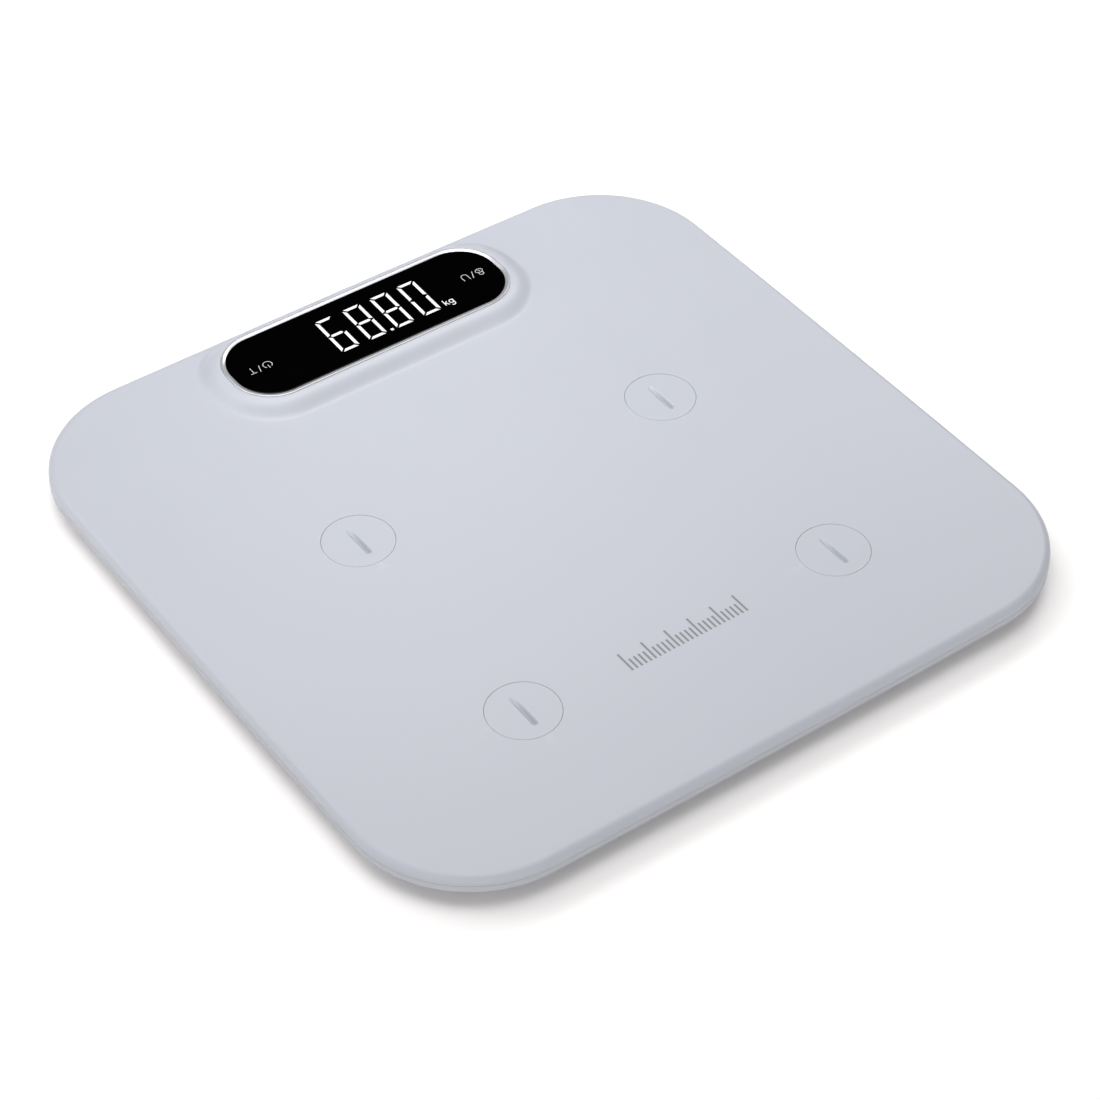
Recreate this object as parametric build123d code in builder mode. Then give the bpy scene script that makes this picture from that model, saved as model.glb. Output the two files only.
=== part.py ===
from build123d import *
import os
from math import radians, tan

os.makedirs("parts", exist_ok=True)

# Digital bathroom scale. Millimetres, +Z up, origin on the floor under the middle of the platform.
# +Y points to the display, which is at the user's far edge. +X is the user's right.

# ---------------------------------------------------------------------------------------------
# Driving dimensions
# ---------------------------------------------------------------------------------------------

# Overall form
platform_width = 300.0
platform_length = 298.0
corner_radius = 49.5
side_bow = 1.0
standing_height = 15.0
ground_clearance = 3.5

# Shells
platform_wall = 2.4
platform_edge_radius = 3.0
skirt_depth = 3.8
seam_gap = 0.2
lip_depth = 3.0
lip_edge_radius = 0.6
base_wall = 1.8
undercut_run = 16.0
rim_gap = 0.4
rim_thickness = 2.0
rib_thickness = 1.6
rib_depth = 4.3
rib_end_gap = 6.0
long_rib_x = 30.0
long_rib_y = -20.0
long_rib_back_gap = 34.0
cross_rib_offset = 33.0
base_rib_x = 27.6
base_rib_y = -10.0
base_rib_height = 2.5
base_side_rib_step = 8.0
slope_wall_share = 0.7

# Display
mound_height = 4.3
mound_top_reach = 21.2
mound_front_run = 8.8
mound_back_run = 3.7
mound_foot_rounding = 26.0
mound_cavity_reach = 22.4
mound_top_fillet = 0.7
display_straight = 86.8
display_end_flat = 2.35
display_back_inset = 28.85
lens_radius = 18.45
lens_thickness = 1.0
lens_edge_radius = 0.2
lens_flange_radius = 20.0
lens_flange_thickness = 0.6
bezel_radius = 20.35
bezel_rise = 0.25
bezel_thickness = 1.3
bezel_edge_radius = 0.45
bezel_bevel_run = 0.95
bezel_bevel_drop = 0.8
gasket_width = 2.2
gasket_thickness = 0.4
recess_floor_thickness = 1.5
piece_gap = 0.05
display_gap = 0.1

# Display digits
digit_width = 8.2
digit_height = 21.8
digit_pitch = 12.95
digit_count = 4
digits_centre_x = 5.05
segment_width = 1.45
segment_gap = 0.5
point_size = 1.2
diffuser_depth = 5.0
reflector_margin_x = 6.5
reflector_margin_y = 3.1
window_gap = 0.4

# Board
board_length = 120.0
board_width = 32.0
board_thickness = 1.6
board_drop = 5.7
board_corner_radius = 3.0
board_hole_inset = 6.0
board_hole_inset_y = 5.0
board_boss_radius = 2.6
board_screw_radius = 0.95
board_screw_length = 5.2
board_screw_head_height = 1.2
board_boss_cap = 1.0
touch_key_offset = 50.0
touch_pad_radius = 3.8
touch_hole_gap = 0.7
socket_width = 5.0
socket_length = 5.5
socket_height = 2.6
loom_sockets_x = (38.0, 44.0)
battery_sockets_x = (-36.0, -30.5)
battery_socket_width = 4.0

# Coin-turned caps and the tray sockets that they close
cap_radius = 13.8
cap_seam = 0.2
cap_thickness = 2.0
cap_edge = 0.25
cap_float = 0.1
hub_float = 0.4
cap_spacing_x = 140.0
cap_front_inset = 62.0
cap_rear_inset = 130.0
coin_slot_length = 16.7
coin_slot_width = 2.5
coin_slot_depth = 1.2
hub_radius = 11.1
hub_wall = 1.9
hub_depth = 4.4
lug_reach = 1.8
lug_width = 9.0
lug_gap = 0.3
ledge_thickness = 1.6
socket_gap = 0.3
groove_gap = 0.5
socket_wall = 1.8
socket_floor = 1.6

# Feet and load cells
foot_inset = 46.0
foot_radius = 16.4
foot_gap = 0.6
foot_top = 4.6
foot_recess = 0.8
pad_radius = 14.8
pad_thickness = 2.0
pad_edge_radius = 0.5
foot_edge_radius = 0.8
foot_boss_radius = 5.0
stud_radius = 2.0
stud_head_radius = 2.9
stud_head_thickness = 0.8
stud_edge_radius = 0.4
stud_head_gap = 0.4
cell_size = 34.0
cell_thickness = 1.2
cell_corner_radius = 3.0
cell_slot_width = 2.0
cell_tongue_width = 13.0
cell_tongue_reach = 11.0
cell_hole_gap = 0.4
collar_height = 0.9
collar_radius = 25.5
frame_length = 48.0
frame_width = 37.0
frame_window = 26.0
frame_thickness = 2.0
frame_screw_offset = 20.8
frame_boss_radius = 3.0
frame_screw_radius = 0.9
frame_screw_head_height = 1.2
driver_slot_width = 0.5
seal_length = 5.0
seal_width = 7.0
seal_height = 1.9
seal_corner_radius = 1.0

# Battery bay
bay_length = 46.0
bay_width = 23.0
bay_wall = 2.0
bay_roof = 1.2
cell_battery_radius = 10.0
cell_battery_thickness = 3.2
cell_battery_spacing = 23.0
cell_can_radius = 8.7
cell_can_step = 0.3
door_gap = 0.3
door_thickness = 1.8
door_pin_radius = 0.5
door_pin_length = 1.2
pin_gap = 0.08
latch_width = 8.0
latch_thickness = 1.0
latch_height = 2.4
notch_length = 14.0
notch_width = 5.0
notch_corner_radius = 2.4
notch_depth = 1.08
link_thickness = 0.2
contact_thickness = 0.3
contact_width = 6.0
contact_length = 16.0
dimple_radius = 2.0
dimple_height = 0.2
tail_width = 2.0
tail_height = 2.6

# Fasteners and wires
case_screw_radius = 1.2
case_screw_head_radius = 2.9
case_screw_head_height = 1.9
case_screw_bite = 4.0
case_screw_seat = 3.0
case_screw_side_inset = 22.0
case_screw_end_inset = 23.0
case_screw_rear_row = 99.0
case_screw_front_side = 90.0
case_screw_back_side = 70.0
case_tower_radius = 4.2
case_boss_radius = 3.6
screw_gap = 0.3
loom_radius = 1.0
wire_radius = 0.6
label_length = 62.0
label_width = 34.0
label_thickness = 0.12
label_corner_radius = 2.0
label_step = 12.0

# ---------------------------------------------------------------------------------------------
# Levels and places worked out from them
# ---------------------------------------------------------------------------------------------

half_width = platform_width / 2
half_length = platform_length / 2
skirt_bottom = standing_height - skirt_depth
plate_under = standing_height - platform_wall
lip_top = skirt_bottom - seam_gap
lip_bottom = lip_top - lip_depth
floor_top = ground_clearance + base_wall
rim_inset = platform_wall + rim_gap
rim_inner_inset = rim_inset + rim_thickness
rib_bottom = plate_under - rib_depth

display_y = half_length - display_back_inset
display_top = standing_height + mound_height
lens_bottom = display_top - lens_thickness - lens_flange_thickness - display_gap
recess_top = lens_bottom - gasket_thickness
recess_under = recess_top - recess_floor_thickness
board_top = recess_under - board_drop
board_under = board_top - board_thickness
board_front = display_y - board_width / 2

cap_front_y = -half_length + cap_front_inset
cap_rear_y = half_length - cap_rear_inset
cap_x = cap_spacing_x / 2
cap_places = {
    "front_left": (-cap_x, cap_front_y),
    "front_right": (cap_x, cap_front_y),
    "rear_left": (-cap_x, cap_rear_y),
    "rear_right": (cap_x, cap_rear_y),
}
cap_disc_under = standing_height - cap_thickness
shoulder = cap_disc_under - cap_float
ledge_under = shoulder - ledge_thickness
lug_top = ledge_under - lug_gap
hub_bottom = cap_disc_under - hub_depth
lug_radius = hub_radius + lug_reach
groove_radius = lug_radius + groove_gap
socket_inner_floor = hub_bottom - hub_float
socket_bottom = socket_inner_floor - socket_floor
socket_outer_radius = groove_radius + socket_wall

foot_x = half_width - foot_inset
foot_y = half_length - foot_inset
foot_places = {
    "front_left": (-foot_x, -foot_y),
    "front_right": (foot_x, -foot_y),
    "rear_left": (-foot_x, foot_y),
    "rear_right": (foot_x, foot_y),
}
foot_bottom = pad_thickness - foot_recess
well_radius = foot_radius + foot_gap
collar_top = floor_top + collar_height
cell_top = collar_top + cell_thickness
frame_top = cell_top + frame_thickness

bay_y = (cap_front_y + cap_rear_y) / 2
door_top = ground_clearance + door_thickness
battery_bottom = door_top + link_thickness + display_gap
battery_top = battery_bottom + cell_battery_thickness
strip_bottom = battery_top + dimple_height
bay_roof_under = strip_bottom + contact_thickness
bay_roof_top = bay_roof_under + bay_roof
battery_wire_z = bay_roof_top + wire_radius + contact_thickness
door_half_width = bay_width / 2 - door_gap
hinge_y = bay_y + door_half_width - door_thickness / 2
hinge_z = ground_clearance + door_thickness / 2

tower_top = rib_bottom
screw_head_under = ground_clearance + case_screw_seat
case_screw_places = [
    (-half_width + case_screw_side_inset, bay_y),
    (half_width - case_screw_side_inset, bay_y),
    (-half_width + case_screw_side_inset, half_length - case_screw_rear_row),
    (half_width - case_screw_side_inset, half_length - case_screw_rear_row),
    (-half_width + case_screw_front_side, -half_length + case_screw_end_inset),
    (half_width - case_screw_front_side, -half_length + case_screw_end_inset),
    (-half_width + case_screw_back_side, half_length - case_screw_end_inset),
    (half_width - case_screw_back_side, half_length - case_screw_end_inset),
]
board_screw_x = board_length / 2 - board_hole_inset
board_screw_y = board_width / 2 - board_hole_inset_y
board_screw_places = [
    (-board_screw_x, display_y - board_screw_y),
    (board_screw_x, display_y - board_screw_y),
    (-board_screw_x, display_y + board_screw_y),
    (board_screw_x, display_y + board_screw_y),
]
frame_screw_places = [
    (x, y + side * frame_screw_offset) for x, y in foot_places.values() for side in (-1, 1)
]


# ---------------------------------------------------------------------------------------------
# Shared shapes
# ---------------------------------------------------------------------------------------------


def footprint(inset, height):
    """The scale's outline at a height: four slightly bowed sides and round corners, all inset."""
    half_x = half_width - inset
    half_y = half_length - inset
    corner_x = half_x - side_bow
    corner_y = half_y - side_bow
    with BuildSketch(Plane.XY.offset(height)) as outline:
        with BuildLine():
            ThreePointArc((-corner_x, -corner_y), (0, -half_y), (corner_x, -corner_y))
            ThreePointArc((corner_x, -corner_y), (half_x, 0), (corner_x, corner_y))
            ThreePointArc((corner_x, corner_y), (0, half_y), (-corner_x, corner_y))
            ThreePointArc((-corner_x, corner_y), (-half_x, 0), (-corner_x, -corner_y))
        make_face()
        fillet(outline.vertices(), radius=corner_radius - inset)
    return outline.sketch


def pill(radius, height):
    """The display's outline at a height: straight sides and round ends with a short flat."""
    with BuildSketch(Plane.XY.offset(height)) as outline:
        with Locations((0, display_y)):
            RectangleRounded(display_straight + 2 * radius, 2 * radius, radius - display_end_flat)
    return outline.sketch


def discs(places, radius, height):
    """Like circles at several places, at a height."""
    with BuildSketch(Plane.XY.offset(height)) as outline:
        with Locations(*places):
            Circle(radius)
    return outline.sketch


def plate(x, y, length, width, height, corner=0.0):
    """A rectangle centred on a place, at a height, with round corners where asked."""
    with BuildSketch(Plane.XY.offset(height)) as outline:
        with Locations((x, y)):
            if corner:
                RectangleRounded(length, width, corner)
            else:
                Rectangle(length, width)
    return outline.sketch


def screws(places, radius, head_radius, head_height, head_under, length):
    """Cross-recessed screws driven upwards, with their heads' inner faces at head_under."""
    with BuildPart() as group:
        extrude(discs(places, head_radius, head_under - head_height), amount=head_height)
        rims = group.edges().filter_by(GeomType.CIRCLE).group_by(Axis.Z)[0]
        chamfer(rims, length=head_height * 0.3)
        extrude(discs(places, radius, head_under), amount=length)
        with BuildSketch(Plane.XY.offset(head_under - head_height)):
            with Locations(*places):
                Rectangle(head_radius, head_radius * 0.25)
                Rectangle(head_radius * 0.25, head_radius)
        extrude(amount=head_height * 0.5, mode=Mode.SUBTRACT)
    return group.part


def corner_radii(points):
    """For each corner of a route, 0.45 of its shorter run over the tangent of half its turn."""
    corners = [Vector(*point) for point in points]
    radii = []
    for before, here, after in zip(corners, corners[1:], corners[2:]):
        turn = (here - before).get_angle(after - here)
        run = min((here - before).length, (after - here).length)
        radii.append(0.45 * run / tan(radians(turn / 2)))
    return radii


def wire(points, radius):
    """A round wire along straight runs joined by tangent arcs."""
    with BuildPart() as tube:
        with BuildLine() as route:
            FilletPolyline(*points, radius=corner_radii(points))
        start = route.wires()[0]
        with BuildSketch(Plane(origin=start @ 0, z_dir=start % 0)):
            Circle(radius)
        sweep(path=start)
    return tube.part


# ---------------------------------------------------------------------------------------------
# Platform
# ---------------------------------------------------------------------------------------------

mound_foot_length = display_straight + 2 * (mound_top_reach + mound_front_run)
mound_foot_width = 2 * mound_top_reach + mound_front_run + mound_back_run
mound_foot_y = display_y + (mound_back_run - mound_front_run) / 2
ledge_bore_radius = hub_radius + socket_gap
window_length = digit_pitch * (digit_count - 1) + digit_width + 2 * (reflector_margin_x + window_gap)
window_width = digit_height + 2 * (reflector_margin_y + window_gap)
rib_reach_x = half_width - rim_inner_inset - rib_end_gap
long_rib_half = board_front - long_rib_back_gap
side_rib_x = foot_x
side_rib_end = foot_y - frame_length / 2 - rib_end_gap
rear_rib_y = (cap_rear_y + socket_outer_radius + foot_y - frame_length / 2) / 2
cross_rib_places = [cap_front_y + cross_rib_offset, cap_rear_y - cross_rib_offset, rear_rib_y]

with BuildPart() as platform:
    extrude(footprint(0, skirt_bottom), amount=skirt_depth)
    fillet(platform.faces().sort_by(Axis.Z)[-1].edges(), radius=platform_edge_radius)
    loft(sections=[
        plate(
            0, mound_foot_y, mound_foot_length, mound_foot_width, standing_height,
            corner=mound_foot_rounding,
        ).face(),
        pill(mound_top_reach, display_top).face(),
    ], ruled=True)
    fillet(platform.faces().sort_by(Axis.Z)[-1].edges(), radius=mound_top_fillet)
    extrude(footprint(platform_wall, skirt_bottom), amount=plate_under - skirt_bottom, mode=Mode.SUBTRACT)
    extrude(
        pill(mound_cavity_reach, plate_under),
        amount=recess_under - plate_under,
        mode=Mode.SUBTRACT,
    )
    extrude(pill(bezel_radius + piece_gap, recess_top), amount=display_top - recess_top, mode=Mode.SUBTRACT)
    # Window for the digits and holes for the touch pads
    extrude(
        plate(digits_centre_x, display_y, window_length, window_width, recess_under),
        amount=recess_floor_thickness,
        mode=Mode.SUBTRACT,
    )
    extrude(
        discs(
            [(-touch_key_offset, display_y), (touch_key_offset, display_y)],
            touch_pad_radius + touch_hole_gap,
            recess_under,
        ),
        amount=recess_floor_thickness,
        mode=Mode.SUBTRACT,
    )
    # Board bosses
    extrude(discs(board_screw_places, board_boss_radius, board_top), amount=board_drop)
    extrude(
        discs(board_screw_places, board_screw_radius + piece_gap, board_top),
        amount=board_drop - board_boss_cap,
        mode=Mode.SUBTRACT,
    )
    # Ribs
    for side in (-1, 1):
        extrude(
            plate(side * long_rib_x, long_rib_y, rib_thickness, 2 * long_rib_half, rib_bottom),
            amount=rib_depth,
        )
        extrude(plate(side * side_rib_x, 0, rib_thickness, 2 * side_rib_end, rib_bottom), amount=rib_depth)
        for rib_y in cross_rib_places:
            rib_length = rib_reach_x - long_rib_x
            rib_x = side * (long_rib_x + rib_length / 2)
            extrude(plate(rib_x, rib_y, rib_length, rib_thickness, rib_bottom), amount=rib_depth)
    # Screw bosses
    extrude(discs(case_screw_places, case_boss_radius, tower_top), amount=plate_under - tower_top)
    extrude(
        discs(case_screw_places, case_screw_radius + piece_gap, tower_top),
        amount=case_screw_bite + screw_gap,
        mode=Mode.SUBTRACT,
    )
    # Tray sockets: a blind cup with a shoulder, a notched ledge and an annular groove below it
    places = list(cap_places.values())
    extrude(discs(places, socket_outer_radius, socket_bottom), amount=plate_under - socket_bottom)
    extrude(
        discs(places, cap_radius + cap_seam, shoulder),
        amount=standing_height - shoulder,
        mode=Mode.SUBTRACT,
    )
    extrude(discs(places, ledge_bore_radius, ledge_under), amount=ledge_thickness, mode=Mode.SUBTRACT)
    extrude(
        discs(places, groove_radius, socket_inner_floor),
        amount=ledge_under - socket_inner_floor,
        mode=Mode.SUBTRACT,
    )
    for place in places:
        with BuildSketch(Plane.XY.offset(ledge_under)):
            with Locations(place):
                Circle(groove_radius)
                Rectangle(lug_width + 2 * groove_gap, 2 * groove_radius, mode=Mode.INTERSECT)
        extrude(amount=ledge_thickness, mode=Mode.SUBTRACT)
platform.part.label = "platform"
export_step(platform.part, "parts/platform.step")

# ---------------------------------------------------------------------------------------------
# Base
# ---------------------------------------------------------------------------------------------

slope_top = lip_bottom + base_wall * slope_wall_share
base_rib_top = floor_top + base_rib_height
head_recess_radius = case_screw_head_radius + screw_gap
outer_bay_length = bay_length + 2 * bay_wall
outer_bay_width = bay_width + 2 * bay_wall
tail_y = bay_y + contact_length / 2 - contact_thickness
label_y = cap_front_y - label_step

with BuildPart() as base:
    extrude(footprint(0, lip_bottom), amount=lip_depth)
    fillet(base.faces().sort_by(Axis.Z)[0].edges(), radius=lip_edge_radius)
    extrude(footprint(rim_inset, lip_top), amount=plate_under - lip_top)
    loft(sections=[
        footprint(undercut_run, ground_clearance).face(),
        footprint(lip_edge_radius, lip_bottom).face(),
    ], ruled=True)
    loft(sections=[
        footprint(undercut_run + base_wall, floor_top).face(),
        footprint(rim_inner_inset, slope_top).face(),
    ], ruled=True, mode=Mode.SUBTRACT)
    extrude(footprint(rim_inner_inset, slope_top), amount=plate_under - slope_top, mode=Mode.SUBTRACT)
    # Collars that carry the load cells, with their frames' bosses and the foot wells
    foot_centres = list(foot_places.values())
    extrude(discs(foot_centres, collar_radius, floor_top), amount=collar_height)
    extrude(discs(frame_screw_places, frame_boss_radius, collar_top), amount=cell_thickness)
    extrude(
        discs(frame_screw_places, frame_screw_radius + piece_gap, floor_top),
        amount=cell_top - floor_top,
        mode=Mode.SUBTRACT,
    )
    extrude(
        discs(foot_centres, well_radius, ground_clearance),
        amount=collar_top - ground_clearance,
        mode=Mode.SUBTRACT,
    )
    # Stiffening ribs
    for side in (-1, 1):
        extrude(
            plate(side * base_rib_x, base_rib_y, rib_thickness, 2 * long_rib_half, floor_top),
            amount=base_rib_top - floor_top,
        )
        extrude(
            plate(side * (foot_x - base_side_rib_step), 0, rib_thickness, 2 * side_rib_end, floor_top),
            amount=base_rib_top - floor_top,
        )
    # Screw towers
    extrude(discs(case_screw_places, case_tower_radius, floor_top), amount=tower_top - floor_top)
    extrude(
        discs(case_screw_places, head_recess_radius, ground_clearance),
        amount=screw_head_under - ground_clearance,
        mode=Mode.SUBTRACT,
    )
    extrude(
        discs(case_screw_places, case_screw_radius + screw_gap, screw_head_under),
        amount=tower_top - screw_head_under,
        mode=Mode.SUBTRACT,
    )
    # Battery bay
    extrude(plate(0, bay_y, outer_bay_length, outer_bay_width, floor_top), amount=bay_roof_top - floor_top)
    extrude(
        plate(0, bay_y, bay_length, bay_width, ground_clearance),
        amount=bay_roof_under - ground_clearance,
        mode=Mode.SUBTRACT,
    )
    for side in (-1, 1):
        extrude(
            plate(
                side * cell_battery_spacing / 2, tail_y, tail_width + 2 * screw_gap,
                contact_thickness + 2 * screw_gap, bay_roof_under,
            ),
            amount=bay_roof,
            mode=Mode.SUBTRACT,
        )
    with BuildSketch(Plane.YZ.offset(-bay_length / 2 - door_pin_length)):
        with Locations((hinge_y, hinge_z)):
            Circle(door_pin_radius + pin_gap)
    extrude(amount=bay_length + 2 * door_pin_length, mode=Mode.SUBTRACT)
    # Thumb notch at the door's free edge
    extrude(
        plate(
            0, bay_y - bay_width / 2, notch_length, notch_width, ground_clearance,
            corner=notch_corner_radius,
        ),
        amount=notch_depth,
        mode=Mode.SUBTRACT,
    )
base.part.label = "base"
export_step(base.part, "parts/base.step")

# ---------------------------------------------------------------------------------------------
# Display
# ---------------------------------------------------------------------------------------------

with BuildPart() as display_bezel:
    bezel_bottom = display_top + bezel_rise - bezel_thickness
    extrude(pill(bezel_radius, bezel_bottom), amount=bezel_thickness)
    fillet(display_bezel.faces().sort_by(Axis.Z)[-1].edges(), radius=bezel_edge_radius)
    extrude(pill(lens_radius + piece_gap, bezel_bottom), amount=bezel_thickness, mode=Mode.SUBTRACT)
    inner_rim = display_bezel.faces().sort_by(Axis.Z)[-1].inner_wires()[0].edges()
    chamfer(inner_rim, length=bezel_bevel_run, length2=bezel_bevel_drop)
display_bezel.part.label = "display_bezel"
export_step(display_bezel.part, "parts/display_bezel.step")

with BuildPart() as display_lens:
    extrude(pill(lens_flange_radius, lens_bottom), amount=lens_flange_thickness)
    extrude(
        pill(lens_radius, lens_bottom + lens_flange_thickness),
        amount=display_top - lens_bottom - lens_flange_thickness,
    )
    fillet(display_lens.faces().sort_by(Axis.Z)[-1].edges(), radius=lens_edge_radius)
display_lens.part.label = "display_lens"
export_step(display_lens.part, "parts/display_lens.step")

with BuildPart() as lens_gasket:
    extrude(pill(lens_flange_radius, recess_top), amount=gasket_thickness)
    extrude(
        pill(lens_flange_radius - gasket_width, recess_top),
        amount=gasket_thickness,
        mode=Mode.SUBTRACT,
    )
lens_gasket.part.label = "lens_gasket"
export_step(lens_gasket.part, "parts/lens_gasket.step")

# Each digit has three level bars and four upright ones, all with pointed ends
reflector_top = lens_bottom - display_gap
reflector_length = window_length - 2 * window_gap
reflector_width = window_width - 2 * window_gap
level_length = digit_width - segment_width - segment_gap
upright_length = digit_height / 2 - segment_width / 2 - segment_gap


def bar_outline(length, width):
    """A segment bar with pointed ends, along X."""
    half = length / 2
    return [
        (-half, 0),
        (-half + width / 2, width / 2),
        (half - width / 2, width / 2),
        (half, 0),
        (half - width / 2, -width / 2),
        (-half + width / 2, -width / 2),
    ]


def segments(grow, height):
    """All the digits' bars and points at a height, each grown outwards by a clearance."""
    upright_x = (digit_width - segment_width) / 2
    upright_y = digit_height / 4 - segment_width / 4
    first_x = digits_centre_x - digit_pitch * (digit_count - 1) / 2
    with BuildSketch(Plane.XY.offset(height)) as outline:
        for index in range(digit_count):
            centre_x = first_x + index * digit_pitch
            for row in (-1, 0, 1):
                with Locations((centre_x, display_y + row * (digit_height - segment_width) / 2)):
                    Polygon(*bar_outline(level_length + 2 * grow, segment_width + 2 * grow), align=None)
            for side in (-1, 1):
                for row in (-1, 1):
                    place = (centre_x + side * upright_x, display_y + row * upright_y, 0)
                    with Locations(Location(place, 90)):
                        Polygon(*bar_outline(upright_length + 2 * grow, segment_width + 2 * grow), align=None)
        for index in range(digit_count - 1):
            point_x = first_x + (index + 0.5) * digit_pitch
            with Locations((point_x, display_y - digit_height / 2 + point_size / 2)):
                Rectangle(point_size + 2 * grow, point_size + 2 * grow)
    return outline.sketch


with BuildPart() as led_reflector:
    extrude(
        plate(digits_centre_x, display_y, reflector_length, reflector_width, board_top),
        amount=reflector_top - board_top,
    )
    extrude(
        segments(piece_gap, reflector_top - diffuser_depth),
        amount=diffuser_depth,
        mode=Mode.SUBTRACT,
    )
led_reflector.part.label = "led_reflector"
export_step(led_reflector.part, "parts/led_reflector.step")

with BuildPart() as segment_diffusers:
    extrude(segments(0, reflector_top - diffuser_depth), amount=diffuser_depth)
segment_diffusers.part.label = "segment_diffusers"
export_step(segment_diffusers.part, "parts/segment_diffusers.step")

for side_name, side in (("left", -1), ("right", 1)):
    with BuildPart() as touch_pad:
        extrude(
            discs([(side * touch_key_offset, display_y)], touch_pad_radius, board_top),
            amount=lens_bottom - board_top,
        )
    touch_pad.part.label = f"touch_pad_{side_name}"
    export_step(touch_pad.part, f"parts/touch_pad_{side_name}.step")

# ---------------------------------------------------------------------------------------------
# Board
# ---------------------------------------------------------------------------------------------

with BuildPart() as main_board:
    extrude(
        plate(0, display_y, board_length, board_width, board_under, corner=board_corner_radius),
        amount=board_thickness,
    )
    extrude(
        discs(board_screw_places, board_screw_radius + screw_gap, board_under),
        amount=board_thickness,
        mode=Mode.SUBTRACT,
    )
main_board.part.label = "main_board"
export_step(main_board.part, "parts/main_board.step")

# Chips hang under the board: place along X, place across the board, length, width, height
chips = [
    (-12.0, 2.0, 9.0, 9.0, 1.2),
    (8.0, 4.0, 6.0, 5.0, 1.2),
    (22.0, -2.0, 5.0, 4.0, 1.1),
    (-28.0, 6.0, 3.5, 8.0, 1.3),
    (0.0, -7.0, 3.2, 1.6, 0.9),
    (6.0, -7.0, 3.2, 1.6, 0.9),
    (14.0, -9.0, 3.2, 1.6, 0.9),
]
with BuildPart() as board_chips:
    for x, y, length, width, height in chips:
        extrude(plate(x, display_y + y, length, width, board_under - height), amount=height)
board_chips.part.label = "board_chips"
export_step(board_chips.part, "parts/board_chips.step")

socket_y = board_front + socket_length / 2 + display_gap
with BuildPart() as board_sockets:
    for side in (-1, 1):
        for x in loom_sockets_x:
            extrude(
                plate(side * x, socket_y, socket_width, socket_length, board_under - socket_height),
                amount=socket_height,
            )
    for x in battery_sockets_x:
        extrude(plate(x, socket_y, battery_socket_width, socket_length, board_top), amount=socket_height)
board_sockets.part.label = "board_sockets"
export_step(board_sockets.part, "parts/board_sockets.step")

# ---------------------------------------------------------------------------------------------
# Coin-turned caps
# ---------------------------------------------------------------------------------------------

for cap_name, (x, y) in cap_places.items():
    with BuildPart() as coin_cap:
        extrude(discs([(x, y)], cap_radius, cap_disc_under), amount=cap_thickness)
        fillet(coin_cap.faces().sort_by(Axis.Z)[-1].edges(), radius=cap_edge)
        extrude(discs([(x, y)], hub_radius, hub_bottom), amount=hub_depth)
        with BuildSketch(Plane.XY.offset(hub_bottom)):
            with Locations((x, y)):
                Circle(lug_radius)
                Rectangle(2 * lug_radius, lug_width, mode=Mode.INTERSECT)
        extrude(amount=lug_top - hub_bottom)
        extrude(discs([(x, y)], hub_radius - hub_wall, hub_bottom), amount=hub_depth, mode=Mode.SUBTRACT)
        with BuildSketch(Plane.XY.offset(standing_height - coin_slot_depth)):
            with Locations((x, y)):
                SlotOverall(coin_slot_length, coin_slot_width, rotation=90)
        extrude(amount=coin_slot_depth, mode=Mode.SUBTRACT)
    coin_cap.part.label = f"coin_cap_{cap_name}"
    export_step(coin_cap.part, f"parts/coin_cap_{cap_name}.step")

# ---------------------------------------------------------------------------------------------
# Feet and load cells
# ---------------------------------------------------------------------------------------------

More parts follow.
